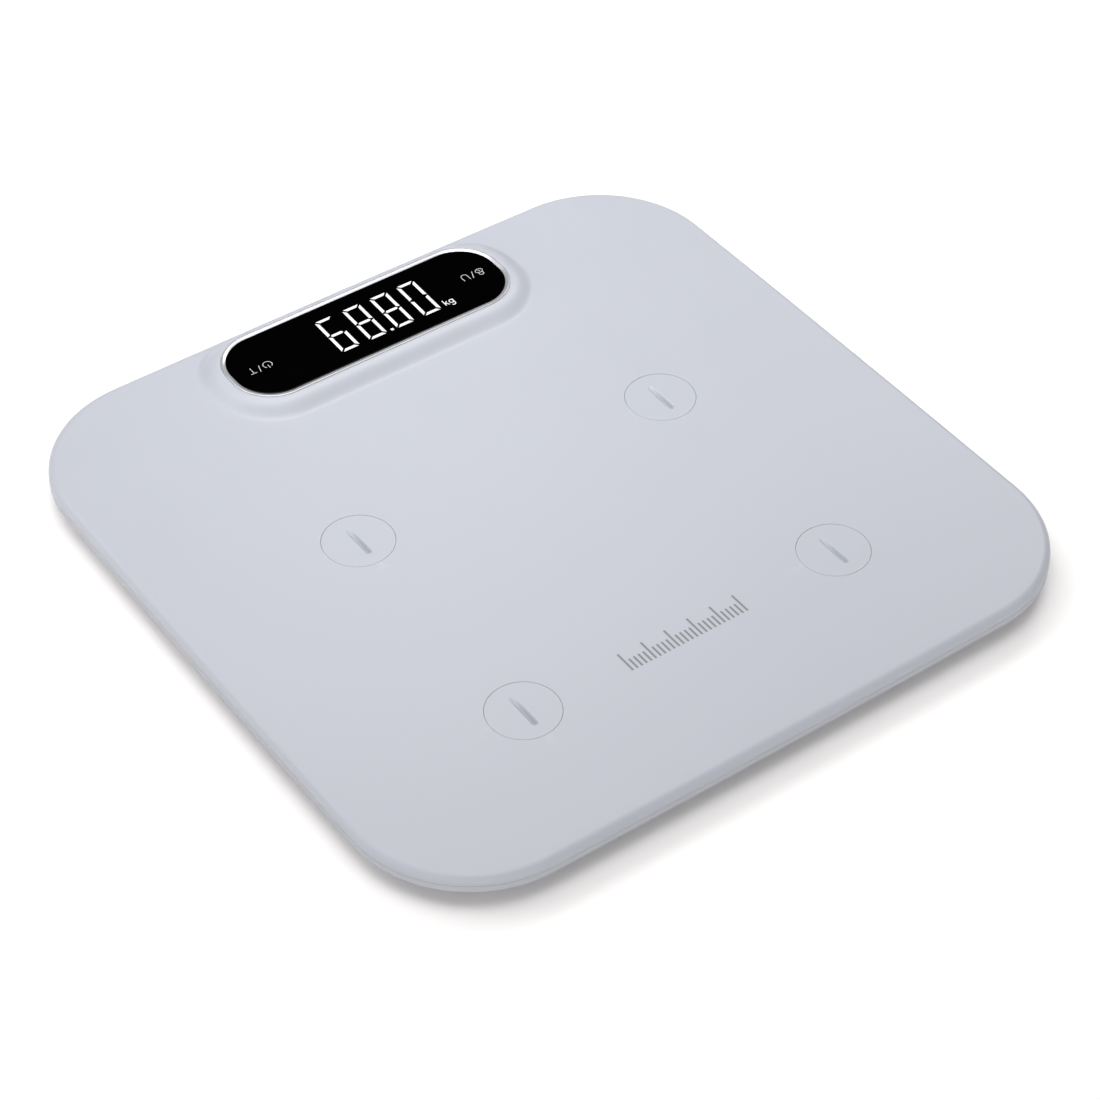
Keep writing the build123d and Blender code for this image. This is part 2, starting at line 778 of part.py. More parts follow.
for foot_name, (x, y) in foot_places.items():
    inward = -1 if x > 0 else 1
    tongue_slot_x = x - inward * (cell_tongue_reach - cell_slot_width / 2)
    long_slot_length = 2 * cell_tongue_reach - cell_slot_width

    with BuildPart() as foot_pad:
        extrude(discs([(x, y)], pad_radius, 0), amount=pad_thickness)
        fillet(foot_pad.faces().sort_by(Axis.Z)[0].edges(), radius=pad_edge_radius)
    foot_pad.part.label = f"foot_pad_{foot_name}"
    export_step(foot_pad.part, f"parts/foot_pad_{foot_name}.step")

    with BuildPart() as foot:
        extrude(discs([(x, y)], foot_radius, foot_bottom), amount=foot_top - foot_bottom)
        fillet(foot.faces().sort_by(Axis.Z)[-1].edges(), radius=foot_edge_radius)
        extrude(discs([(x, y)], pad_radius + piece_gap, foot_bottom), amount=foot_recess, mode=Mode.SUBTRACT)
        extrude(discs([(x, y)], foot_boss_radius, foot_top), amount=collar_top - foot_top)
        extrude(
            discs([(x, y)], stud_radius, collar_top),
            amount=cell_thickness + stud_head_gap,
        )
        extrude(discs([(x, y)], stud_head_radius, cell_top + stud_head_gap), amount=stud_head_thickness)
        fillet(foot.faces().sort_by(Axis.Z)[-1].edges(), radius=stud_edge_radius)
    foot.part.label = f"foot_{foot_name}"
    export_step(foot.part, f"parts/foot_{foot_name}.step")

    with BuildPart() as load_cell:
        extrude(
            plate(x, y, cell_size, cell_size, collar_top, corner=cell_corner_radius),
            amount=cell_thickness,
        )
        for side in (-1, 1):
            slot_y = y + side * (cell_tongue_width + cell_slot_width) / 2
            extrude(
                plate(x, slot_y, long_slot_length, cell_slot_width, collar_top),
                amount=cell_thickness,
                mode=Mode.SUBTRACT,
            )
        extrude(
            plate(
                tongue_slot_x, y, cell_slot_width, cell_tongue_width + 2 * cell_slot_width, collar_top,
            ),
            amount=cell_thickness,
            mode=Mode.SUBTRACT,
        )
        extrude(
            discs([(x, y)], stud_radius + cell_hole_gap, collar_top),
            amount=cell_thickness,
            mode=Mode.SUBTRACT,
        )
    load_cell.part.label = f"load_cell_{foot_name}"
    export_step(load_cell.part, f"parts/load_cell_{foot_name}.step")

    with BuildPart() as load_cell_frame:
        extrude(
            plate(x, y, frame_width, frame_length, cell_top, corner=cell_corner_radius),
            amount=frame_thickness,
        )
        extrude(plate(x, y, frame_window, frame_window, cell_top), amount=frame_thickness, mode=Mode.SUBTRACT)
        extrude(
            plate(x + inward * frame_width / 4, y, frame_width / 2, 2 * (loom_radius + foot_gap), cell_top),
            amount=frame_thickness,
            mode=Mode.SUBTRACT,
        )
        extrude(
            discs(
                [(x, y - frame_screw_offset), (x, y + frame_screw_offset)],
                frame_screw_radius + screw_gap,
                cell_top,
            ),
            amount=frame_thickness,
            mode=Mode.SUBTRACT,
        )
    load_cell_frame.part.label = f"load_cell_frame_{foot_name}"
    export_step(load_cell_frame.part, f"parts/load_cell_frame_{foot_name}.step")

seal_reach = frame_window / 2
with BuildPart() as gauge_seals:
    for x, y in foot_places.values():
        inward = -1 if x > 0 else 1
        extrude(
            plate(x + inward * (seal_reach - seal_length / 2), y, seal_length, seal_width, cell_top),
            amount=seal_height,
        )
    fillet(gauge_seals.edges().filter_by(Axis.Z), radius=seal_corner_radius)
gauge_seals.part.label = "gauge_seals"
export_step(gauge_seals.part, "parts/gauge_seals.step")

# ---------------------------------------------------------------------------------------------
# Battery bay
# ---------------------------------------------------------------------------------------------

for side_name, side in (("left", -1), ("right", 1)):
    x = side * cell_battery_spacing / 2
    with BuildPart() as coin_cell:
        extrude(discs([(x, bay_y)], cell_can_radius, battery_bottom), amount=cell_can_step)
        extrude(
            discs([(x, bay_y)], cell_battery_radius, battery_bottom + cell_can_step),
            amount=cell_battery_thickness - cell_can_step,
        )
        fillet(coin_cell.faces().sort_by(Axis.Z)[-1].edges(), radius=cell_can_step)
    coin_cell.part.label = f"coin_cell_{side_name}"
    export_step(coin_cell.part, f"parts/coin_cell_{side_name}.step")

    with BuildPart() as battery_contact:
        extrude(
            plate(x, bay_y, contact_width, contact_length, strip_bottom),
            amount=contact_thickness,
        )
        extrude(discs([(x, bay_y)], dimple_radius, battery_top), amount=dimple_height)
        extrude(
            plate(x, tail_y, tail_width, contact_thickness, bay_roof_under),
            amount=tail_height,
        )
    battery_contact.part.label = f"battery_contact_{side_name}"
    export_step(battery_contact.part, f"parts/battery_contact_{side_name}.step")

with BuildPart() as battery_door:
    door_length = bay_length - 2 * door_gap
    door_centre_y = bay_y - door_thickness / 4
    door_body = 2 * door_half_width - door_thickness / 2
    extrude(plate(0, door_centre_y, door_length, door_body, ground_clearance), amount=door_thickness)
    with BuildSketch(Plane.YZ.offset(-door_length / 2)):
        with Locations((hinge_y, hinge_z)):
            Circle(door_thickness / 2)
    extrude(amount=door_length)
    with BuildSketch(Plane.YZ.offset(-bay_length / 2 - door_pin_length + door_gap)):
        with Locations((hinge_y, hinge_z)):
            Circle(door_pin_radius)
    extrude(amount=bay_length + 2 * (door_pin_length - door_gap))
    latch_y = bay_y - door_half_width + door_gap + latch_thickness / 2
    extrude(plate(0, latch_y, latch_width, latch_thickness, door_top), amount=latch_height)
battery_door.part.label = "battery_door"
export_step(battery_door.part, "parts/battery_door.step")

with BuildPart() as battery_link:
    extrude(
        plate(0, bay_y, cell_battery_spacing + contact_width, contact_width, door_top),
        amount=link_thickness,
    )
battery_link.part.label = "battery_link"
export_step(battery_link.part, "parts/battery_link.step")

# ---------------------------------------------------------------------------------------------
# Wires
# ---------------------------------------------------------------------------------------------

loom_z = floor_top + loom_radius + piece_gap
loom_start_z = cell_top + loom_radius + display_gap
socket_z = board_under - socket_height / 2
battery_socket_z = board_top + socket_height / 2
for foot_name, (x, y) in foot_places.items():
    side = 1 if x > 0 else -1
    start = (x - side * seal_reach, y, loom_start_z)
    if y < 0:
        lane_x = side * loom_sockets_x[0]
        route = [
            start,
            (x - side * 20.0, y, loom_start_z),
            (x - side * 29.0, y - 5.0, loom_z + 0.6),
            (x - side * 42.0, y - 6.5, loom_z),
            (lane_x + side * 8.0, y - 4.0, loom_z),
            (lane_x, y + 10.0, loom_z),
            (lane_x, board_front - 16.0, loom_z),
            (lane_x, board_front - 8.0, socket_z),
            (lane_x, socket_y - socket_length / 2, socket_z),
        ]
    else:
        lane_x = side * loom_sockets_x[1]
        route = [
            start,
            (x - side * 20.0, y, loom_start_z),
            (x - side * 30.0, y - 3.0, loom_z + 0.2),
            (lane_x + side * 14.0, board_front - 10.0, loom_z),
            (lane_x + side * 1.5, board_front - 13.0, loom_z + 0.1),
            (lane_x, board_front - 5.0, socket_z),
            (lane_x, socket_y - socket_length / 2, socket_z),
        ]
    print(foot_name, "loom radii", [round(radius, 1) for radius in corner_radii(route)])
    loom = wire(route, loom_radius)
    loom.label = f"cell_loom_{foot_name}"
    export_step(loom, f"parts/cell_loom_{foot_name}.step")

for wire_name, side, socket_x in (
    ("positive", -1, battery_sockets_x[0]),
    ("negative", 1, battery_sockets_x[1]),
):
    tail_x = side * cell_battery_spacing / 2
    lane_x = side * 4.0
    route = [
        (tail_x, tail_y + contact_thickness / 2, battery_wire_z),
        (tail_x, tail_y + 10.0, battery_wire_z),
        (lane_x, tail_y + 26.0, battery_wire_z),
        (lane_x, board_front - 34.0 + side * 2.0, battery_wire_z),
        (socket_x + 6.0, board_front - 14.0 + side * 2.0, battery_wire_z),
        (socket_x, board_front - 5.0, battery_socket_z),
        (socket_x, socket_y - socket_length / 2, battery_socket_z),
    ]
    print(wire_name, "wire radii", [round(radius, 1) for radius in corner_radii(route)])
    lead = wire(route, wire_radius)
    lead.label = f"battery_wire_{wire_name}"
    export_step(lead, f"parts/battery_wire_{wire_name}.step")

# ---------------------------------------------------------------------------------------------
# Fasteners and label
# ---------------------------------------------------------------------------------------------

case_screws = screws(
    case_screw_places,
    case_screw_radius,
    case_screw_head_radius,
    case_screw_head_height,
    screw_head_under,
    tower_top - screw_head_under + case_screw_bite,
)
case_screws.label = "case_screws"
export_step(case_screws, "parts/case_screws.step")

board_screws = screws(
    board_screw_places,
    board_screw_radius,
    2 * board_screw_radius,
    board_screw_head_height,
    board_under,
    board_screw_length,
)
board_screws.label = "board_screws"
export_step(board_screws, "parts/board_screws.step")

with BuildPart() as frame_screws:
    extrude(
        discs(frame_screw_places, 2 * frame_screw_radius, frame_top),
        amount=frame_screw_head_height,
    )
    shank = frame_top - floor_top - display_gap
    extrude(discs(frame_screw_places, frame_screw_radius, frame_top - shank), amount=shank)
    with BuildSketch(Plane.XY.offset(frame_top + frame_screw_head_height / 2)):
        with Locations(*frame_screw_places):
            Rectangle(2 * frame_screw_radius, driver_slot_width)
            Rectangle(driver_slot_width, 2 * frame_screw_radius)
    extrude(amount=frame_screw_head_height / 2, mode=Mode.SUBTRACT)
frame_screws.part.label = "frame_screws"
export_step(frame_screws.part, "parts/frame_screws.step")

with BuildPart() as rating_label:
    extrude(
        plate(
            0, label_y, label_length, label_width, ground_clearance - label_thickness,
            corner=label_corner_radius,
        ),
        amount=label_thickness,
    )
rating_label.part.label = "rating_label"
export_step(rating_label.part, "parts/rating_label.step")
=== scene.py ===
import math

import bmesh
import bpy
import numpy as np
from bpy.props import FloatProperty, FloatVectorProperty, IntProperty, PointerProperty, StringProperty
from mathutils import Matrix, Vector
from mathutils.geometry import delaunay_2d_cdt


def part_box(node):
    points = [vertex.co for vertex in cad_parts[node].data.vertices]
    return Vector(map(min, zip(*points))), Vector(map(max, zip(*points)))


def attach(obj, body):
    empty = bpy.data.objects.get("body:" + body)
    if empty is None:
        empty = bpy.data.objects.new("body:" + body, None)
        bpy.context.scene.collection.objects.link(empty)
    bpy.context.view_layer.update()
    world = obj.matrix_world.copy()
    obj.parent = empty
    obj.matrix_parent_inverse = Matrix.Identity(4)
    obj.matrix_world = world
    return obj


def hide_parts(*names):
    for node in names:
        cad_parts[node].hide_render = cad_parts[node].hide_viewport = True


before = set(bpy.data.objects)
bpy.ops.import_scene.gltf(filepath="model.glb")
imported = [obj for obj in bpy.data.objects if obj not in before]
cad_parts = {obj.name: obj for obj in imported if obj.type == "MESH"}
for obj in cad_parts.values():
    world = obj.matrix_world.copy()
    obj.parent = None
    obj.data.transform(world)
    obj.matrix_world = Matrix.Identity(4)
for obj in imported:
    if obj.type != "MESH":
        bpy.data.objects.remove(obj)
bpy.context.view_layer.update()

bl_info = {
    "name": "Bathroom Scale",
    "version": (1, 0, 0),
    "blender": (4, 5, 0),
    "location": "3D View > Sidebar > Bathroom Scale",
    "description": "Builds a slim electronic bathroom scale round its CAD frame",
    "category": "Add Mesh",
}

MM = 0.001
TURN = 2 * math.pi
QUARTER = math.pi / 2
CORNERS = ("front_left", "front_right", "rear_left", "rear_right")

# Which of a digit's seven bars are lit. The bars are the levels from the top down, then the
# uprights: upper left, upper right, lower left, lower right.
LIT_BARS = {
    "0": (1, 0, 1, 1, 1, 1, 1),
    "1": (0, 0, 0, 0, 1, 0, 1),
    "2": (1, 1, 1, 0, 1, 1, 0),
    "3": (1, 1, 1, 0, 1, 0, 1),
    "4": (0, 1, 0, 1, 1, 0, 1),
    "5": (1, 1, 1, 1, 0, 0, 1),
    "6": (1, 1, 1, 1, 0, 1, 1),
    "7": (1, 0, 0, 0, 1, 0, 1),
    "8": (1, 1, 1, 1, 1, 1, 1),
    "9": (1, 1, 1, 1, 1, 0, 1),
}


# ------------------------------------------------
# Settings
# ------------------------------------------------


def length(name, description, millimetres):
    """A length setting, given in millimetres and kept in metres."""
    return FloatProperty(
        name=name,
        description=description,
        default=millimetres * MM,
        min=0.0,
        precision=5,
        unit="LENGTH",
        subtype="DISTANCE",
    )


def colour(name, description, red, green, blue):
    """A colour setting, as linear red, green and blue."""
    return FloatVectorProperty(
        name=name,
        description=description,
        default=(red, green, blue),
        min=0.0,
        max=1.0,
        size=3,
        subtype="COLOR",
    )


class ScaleSizes(bpy.types.PropertyGroup):
    """Sizes of the pieces made here. Their places come from the frame."""

    corner_radius: length("Corner Radius", "Radius of the platform's round corners", 49.5)
    side_bow: length("Side Bow", "How far each side swells outwards at its middle", 1.0)
    edge_radius: length("Edge Radius", "Rounding between the platform's top and its side", 3.0)
    wall: length("Wall", "Thickness of the platform's moulding", 2.4)
    mound_run: length("Mound Run", "Width of the slope round the display", 9.6)
    mound_back_run: length("Mound Back Run", "Width of that slope at the far edge", 4.1)
    lens_reach: length("Lens Reach", "Half the black lens's width", 18.45)
    end_flat: length("End Flat", "Half the flat in the middle of each of the display's ends", 2.35)
    slot_length: length("Slot Length", "Length of the coin slot in each cap", 16.7)
    slot_width: length("Slot Width", "Width of the coin slot in each cap", 2.9)
    slot_depth: length("Slot Depth", "Greatest depth of the coin slot", 1.6)
    digit_width: length("Digit Width", "Width of a lit digit", 8.2)
    digit_height: length("Digit Height", "Height of a lit digit", 21.8)
    digit_pitch: length("Digit Pitch", "Distance between the middles of two digits", 12.95)
    digit_lean: FloatProperty(name="Digit Lean", description="Run of the slant over its rise", default=0.02)
    bar_width: length("Bar Width", "Width of a lit bar", 1.35)
    bar_gap: length("Bar Gap", "Dark gap between two lit bars, along either", 0.62)
    point_size: length("Point Size", "Side of the lit decimal point", 1.2)
    film: length("Print Thickness", "How far print and light films stand proud", 0.02)
    pad_groove: length("Pad Groove", "Depth of the rings cut in each foot pad", 0.45)
    reading: StringProperty(name="Reading", description="The lit number, with its point", default="68.80")
    mark_count: IntProperty(name="Mark Count", description="Printed marks in the row", default=26)


class ScaleColours(bpy.types.PropertyGroup):
    """Colours of the finishes that show."""

    shell: colour("Platform", "Satin plastic of the platform and its caps", 0.366, 0.379, 0.421)
    base: colour("Base", "Plastic of the lower tray", 0.358, 0.370, 0.407)
    lens: colour("Lens", "Black gloss of the display", 0.0004, 0.0004, 0.0005)
    ring: colour("Ring", "Bright ring round the display", 0.46, 0.46, 0.48)
    lit: colour("Lit Bars", "Light of the digits", 1.0, 1.0, 1.0)
    key_print: colour("Key Print", "Print of the touch keys", 0.36, 0.36, 0.37)
    marks: colour("Marks", "Printed marks on the platform", 0.160, 0.162, 0.170)
    rubber: colour("Rubber", "Foot pads", 0.32, 0.32, 0.335)
    floor: colour("Floor", "Plain pale floor", 0.905, 0.885, 0.875)


def sizes():
    """The sizes in use."""
    return bpy.context.scene.bathroom_scale_sizes


def colours():
    """The colours in use."""
    return bpy.context.scene.bathroom_scale_colours


# ------------------------------------------------
# Places read from the frame
# ------------------------------------------------


def node_box(node):
    """A node's lowest and highest corners as arrays, and its middle."""
    low, high = (np.array(corner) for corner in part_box(node))
    return low, high, (low + high) / 2


PLATFORM_HIGH = node_box("platform")[1]
LENS_LOW, LENS_HIGH = node_box("display_lens")[:2]
BEZEL_LOW, BEZEL_HIGH, BEZEL_MIDDLE = node_box("display_bezel")
REFLECTOR_LOW, REFLECTOR_HIGH = node_box("led_reflector")[:2]
DIGITS_MIDDLE = node_box("segment_diffusers")[2]
CAP_LOW, CAP_HIGH = node_box("coin_cap_front_left")[:2]

TOP = float(CAP_HIGH[2])
MOUND_TOP = float(PLATFORM_HIGH[2])
LENS_TOP = MOUND_TOP - 0.05 * MM
RING_TOP = float(BEZEL_HIGH[2])
RING_REACH = float(BEZEL_HIGH[1] - BEZEL_LOW[1]) / 2
DISPLAY_Y = float(BEZEL_MIDDLE[1])
DISPLAY_HALF = float(BEZEL_HIGH[0]) - RING_REACH
CAP_RADIUS = float(CAP_HIGH[0] - CAP_LOW[0]) / 2
CAP_GAP = 0.2 * MM
CAP_EDGE = 0.15 * MM
SKIRT_DEPTH = 3.9 * MM
UNIT_STROKE = 0.40 * MM
KEY_STROKE = 0.34 * MM


# ------------------------------------------------
# Surfaces
# ------------------------------------------------


def arc(centre, radius, first, last, steps, whole=True):
    """Points on a circle: centre plus radius times (cosine, sine) of an even run of angles."""
    angle = np.linspace(first, last, steps, endpoint=whole)
    return np.asarray(centre) + radius * np.stack([np.cos(angle), np.sin(angle)], axis=1)


def outline_path(corner_steps=40, side_steps=24):
    """The scale's outline as anchors and outward directions.

    It is eight circle arcs that touch: four shallow ones for the bowed sides and four for the
    corners. A point is its arc's centre plus the arc's radius along the outward direction, and
    that direction turns once round. A corner's centre lies the side's radius less the corner's
    from both sides' centres, which a few rounds of substitution settle.
    """
    settings = sizes()
    half_x, half_y = PLATFORM_HIGH[0], PLATFORM_HIGH[1]
    bow, corner = settings.side_bow, settings.corner_radius
    long_radius = ((half_x - bow) ** 2 + bow**2) / (2 * bow)
    side_radius = ((half_y - bow) ** 2 + bow**2) / (2 * bow)
    far_y, far_x = half_y - long_radius, half_x - side_radius
    corner_x = half_x - corner
    for _ in range(6):
        corner_y = far_y + math.sqrt((long_radius - corner) ** 2 - corner_x**2)
        corner_x = far_x + math.sqrt((side_radius - corner) ** 2 - corner_y**2)
    side_end = math.atan2(corner_y, corner_x - far_x)
    back_start = math.atan2(corner_y - far_y, corner_x)
    arcs = [
        ((far_x, 0), side_radius, -side_end, side_end, side_steps),
        ((corner_x, corner_y), corner, side_end, back_start, corner_steps),
        ((0, far_y), long_radius, back_start, math.pi - back_start, side_steps),
        ((-corner_x, corner_y), corner, math.pi - back_start, math.pi - side_end, corner_steps),
    ]
    anchors = [arc(*piece, whole=False) for piece in arcs]
    outward = [arc((0, 0), 1, *piece[2:], whole=False) for piece in arcs]
    half_anchors, half_outward = np.concatenate(anchors), np.concatenate(outward)
    return np.concatenate([half_anchors, -half_anchors]), np.concatenate([half_outward, -half_outward])


def round_path(middle, half_length, flat=0.0, along_y=False, corner_steps=18, side_steps=24, end_steps=3):
    """A round-ended or round-cornered outline as anchors and outward directions, for any reach.

    Each corner is a quarter turn about a point flat beyond the straight side's end and flat from
    the middle line, and each anchor is that point drawn back by flat against its direction. So
    the reach is measured from the middle line, and a flat of nothing gives half-circle ends.
    """
    turns = [(1, 1), (-1, 1), (-1, -1), (1, -1)]
    turning = [np.array([across * (half_length + flat), up * flat]) for across, up in turns]
    anchors, outward = [], []
    for quarter, centre in enumerate(turning):
        turn = arc((0, 0), 1, quarter * QUARTER, (quarter + 1) * QUARTER, corner_steps)
        steps = end_steps if quarter % 2 else side_steps
        share = np.linspace(0, 1, steps + 2)[1:-1, None]
        straight = centre + share * (turning[(quarter + 1) % 4] - centre)
        directions = np.concatenate([turn, np.repeat(turn[-1:], steps, axis=0)])
        middles = np.concatenate([np.repeat([centre], corner_steps, axis=0), straight])
        anchors.append(middles - flat * directions)
        outward.append(directions)
    anchors, outward = np.concatenate(anchors), np.concatenate(outward)
    if along_y:
        quarter_turn = np.array([[0, 1], [-1, 0]])
        anchors, outward = anchors @ quarter_turn, outward @ quarter_turn
    return np.asarray(middle)[:2] + anchors, outward


def display_path():
    """The outline that the display's mound, ring and lens share."""
    return round_path((0, DISPLAY_Y), DISPLAY_HALF, flat=sizes().end_flat)


def circle_path(middle, steps=96):
    """A circle's middle, repeated, and directions that turn once round."""
    outward = arc((0, 0), 1, 0, TURN, steps, whole=False)
    return np.zeros((steps, 2)) + np.asarray(middle)[:2], outward


def sweep(path, reach, height):
    """A profile carried round a path: point = anchor + reach × outward direction, at a height.

    Reach and height are one number a row, or one a row and column.
    """
    anchors, outward = path
    reach = np.asarray(reach, float)
    height = np.asarray(height, float)
    if reach.ndim == 1:
        reach = reach[:, None]
    if height.ndim == 1:
        height = height[:, None]
    flat = anchors[None] + reach[..., None] * outward[None]
    return np.dstack([flat, np.broadcast_to(height, flat.shape[:2])])


def net(points, closed=True):
    """Four-sided faces between the rows and columns of a net of points."""
    rows, columns = points.shape[:2]
    index = np.arange(rows * columns).reshape(rows, columns)
    if closed:
        index = np.hstack([index, index[:, :1]])
    faces = np.stack([index[:-1, :-1], index[:-1, 1:], index[1:, 1:], index[1:, :-1]], axis=-1)
    return points.reshape(-1, 3), faces.reshape(-1, 4)


def swept(path, profile):
    """The faces of a profile of (reach, height) pairs carried round a path."""
    reach, height = np.array(profile, float).T
    return net(sweep(path, reach, height))


def is_inside(points, starts, ends):
    """Whether a line from each point towards +X crosses the edges an odd number of times."""
    x, y = points[:, :1], points[:, 1:]
    crosses = (starts[:, 1] > y) != (ends[:, 1] > y)
    rise = np.where(starts[:, 1] == ends[:, 1], 1.0, ends[:, 1] - starts[:, 1])
    meets = starts[:, 0] + (y - starts[:, 1]) * (ends[:, 0] - starts[:, 0]) / rise
    return (crosses & (x < meets)).sum(axis=1) % 2 == 1


def level_fill(loops, height, spacing):
    """Level triangles inside the first loop and outside the others.

    A square net of points at the spacing, kept clear of the loops, keeps them even. They are
    the Delaunay triangles whose middles lie inside by the crossing rule.
    """
    loops = [loop[:, :2] for loop in loops]
    rim = np.concatenate(loops)
    ends = np.concatenate([np.roll(loop, -1, axis=0) for loop in loops])
    firsts = np.cumsum([0] + [len(loop) for loop in loops[:-1]])
    following = np.concatenate([
        first + np.roll(np.arange(len(loop)), -1)
        for first, loop in zip(firsts, loops)
    ])
    low, high = rim.min(axis=0), rim.max(axis=0)
    columns, rows = np.arange(low[0], high[0], spacing), np.arange(low[1], high[1], spacing)
    inner = np.stack(np.meshgrid(columns, rows), axis=-1).reshape(-1, 2)
    inner = inner[is_inside(inner, rim, ends)]
    clear = np.linalg.norm(inner[:, None] - rim[None], axis=2).min(axis=1) > spacing * 0.6
    points = np.concatenate([rim, inner[clear]])
    edges = np.stack([np.arange(len(rim)), following], axis=1)
    corners, _, faces, *_ = delaunay_2d_cdt([Vector(p) for p in points], edges.tolist(), [], 0, 1e-9)
    corners, faces = np.array(corners), np.array(faces)
    faces = faces[is_inside(corners[faces].mean(axis=1), rim, ends)]
    return np.column_stack([corners, np.full(len(corners), height)]), faces


def prisms(outlines, low, high):
    """Upright slabs from like outlines (count × corners × 2): two ends and a wall each."""
    outlines = np.asarray(outlines, float)
    count, corners = outlines.shape[:2]
    flat = outlines.reshape(-1, 2)
    points = np.concatenate([
        np.column_stack([flat, np.full(len(flat), low)]),
        np.column_stack([flat, np.full(len(flat), high)]),
    ])
    index = np.arange(count * corners).reshape(count, corners)
    after = np.roll(index, -1, axis=1)
    walls = np.stack([index, after, after + len(flat), index + len(flat)], axis=-1).reshape(-1, 4)
    ends = [*index[:, ::-1].tolist(), *(index + len(flat)).tolist()]
    return points, [*walls.tolist(), *ends]


def stroke(points, width, low, high):
    """A line of print: a flat box carried along a path, square to it at every point."""
    points = np.asarray(points, float)
    along = np.gradient(points, axis=0)
    along /= np.linalg.norm(along, axis=1, keepdims=True)
    across = np.stack([-along[:, 1], along[:, 0]], axis=1) * width / 2
    left, right = points + across, points - across
    low, high = np.full(len(points), low), np.full(len(points), high)
    rows = [(left, low), (right, low), (right, high), (left, high)]
    box = np.stack([np.column_stack(row) for row in rows], axis=1)
    corners, faces = net(box)
    last = len(corners) - 4
    caps = [[3, 2, 1, 0], [last, last + 1, last + 2, last + 3]]
    return corners, [*faces.tolist(), *caps]


def make_piece(name, patches, body, slot, look="", replaces=(), sharp=32.0):
    """One closed mesh from patches of points and faces, riding on a body.

    Points that meet are merged, faces are turned outwards, and edges sharper than the angle
    stay crisp. The look is a finish of its own where the slot's isn't wanted.
    """
    points, faces, used = [], [], 0
    for corners, patch in patches:
        points.append(corners)
        faces.extend([index + used for index in face] for face in np.asarray(patch, dtype=object).tolist())
        used += len(corners)
    mesh = bpy.data.meshes.new(name)
    mesh.from_pydata(np.concatenate(points).tolist(), [], faces)
    work = bmesh.new()
    work.from_mesh(mesh)
    bmesh.ops.remove_doubles(work, verts=work.verts, dist=2e-7)
    bmesh.ops.dissolve_degenerate(work, dist=1e-8, edges=work.edges)
    bmesh.ops.recalc_face_normals(work, faces=work.faces)
    work.to_mesh(mesh)
    work.free()
    mesh.polygons.foreach_set("use_smooth", np.ones(len(mesh.polygons), bool))
    mesh.set_sharp_from_angle(angle=math.radians(sharp))
    mesh.materials.append(finish(look or slot))
    piece = bpy.data.objects.new(name, mesh)
    bpy.context.scene.collection.objects.link(piece)
    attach(piece, body)
    if replaces:
        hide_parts(*replaces)
    return piece


def rounding(centre, radius, first, last, steps=6):
    """Profile points on a quarter-like arc, with the angles in degrees."""
    return arc(centre, radius, math.radians(first), math.radians(last), steps).tolist()


# ------------------------------------------------
# Finishes
# ------------------------------------------------

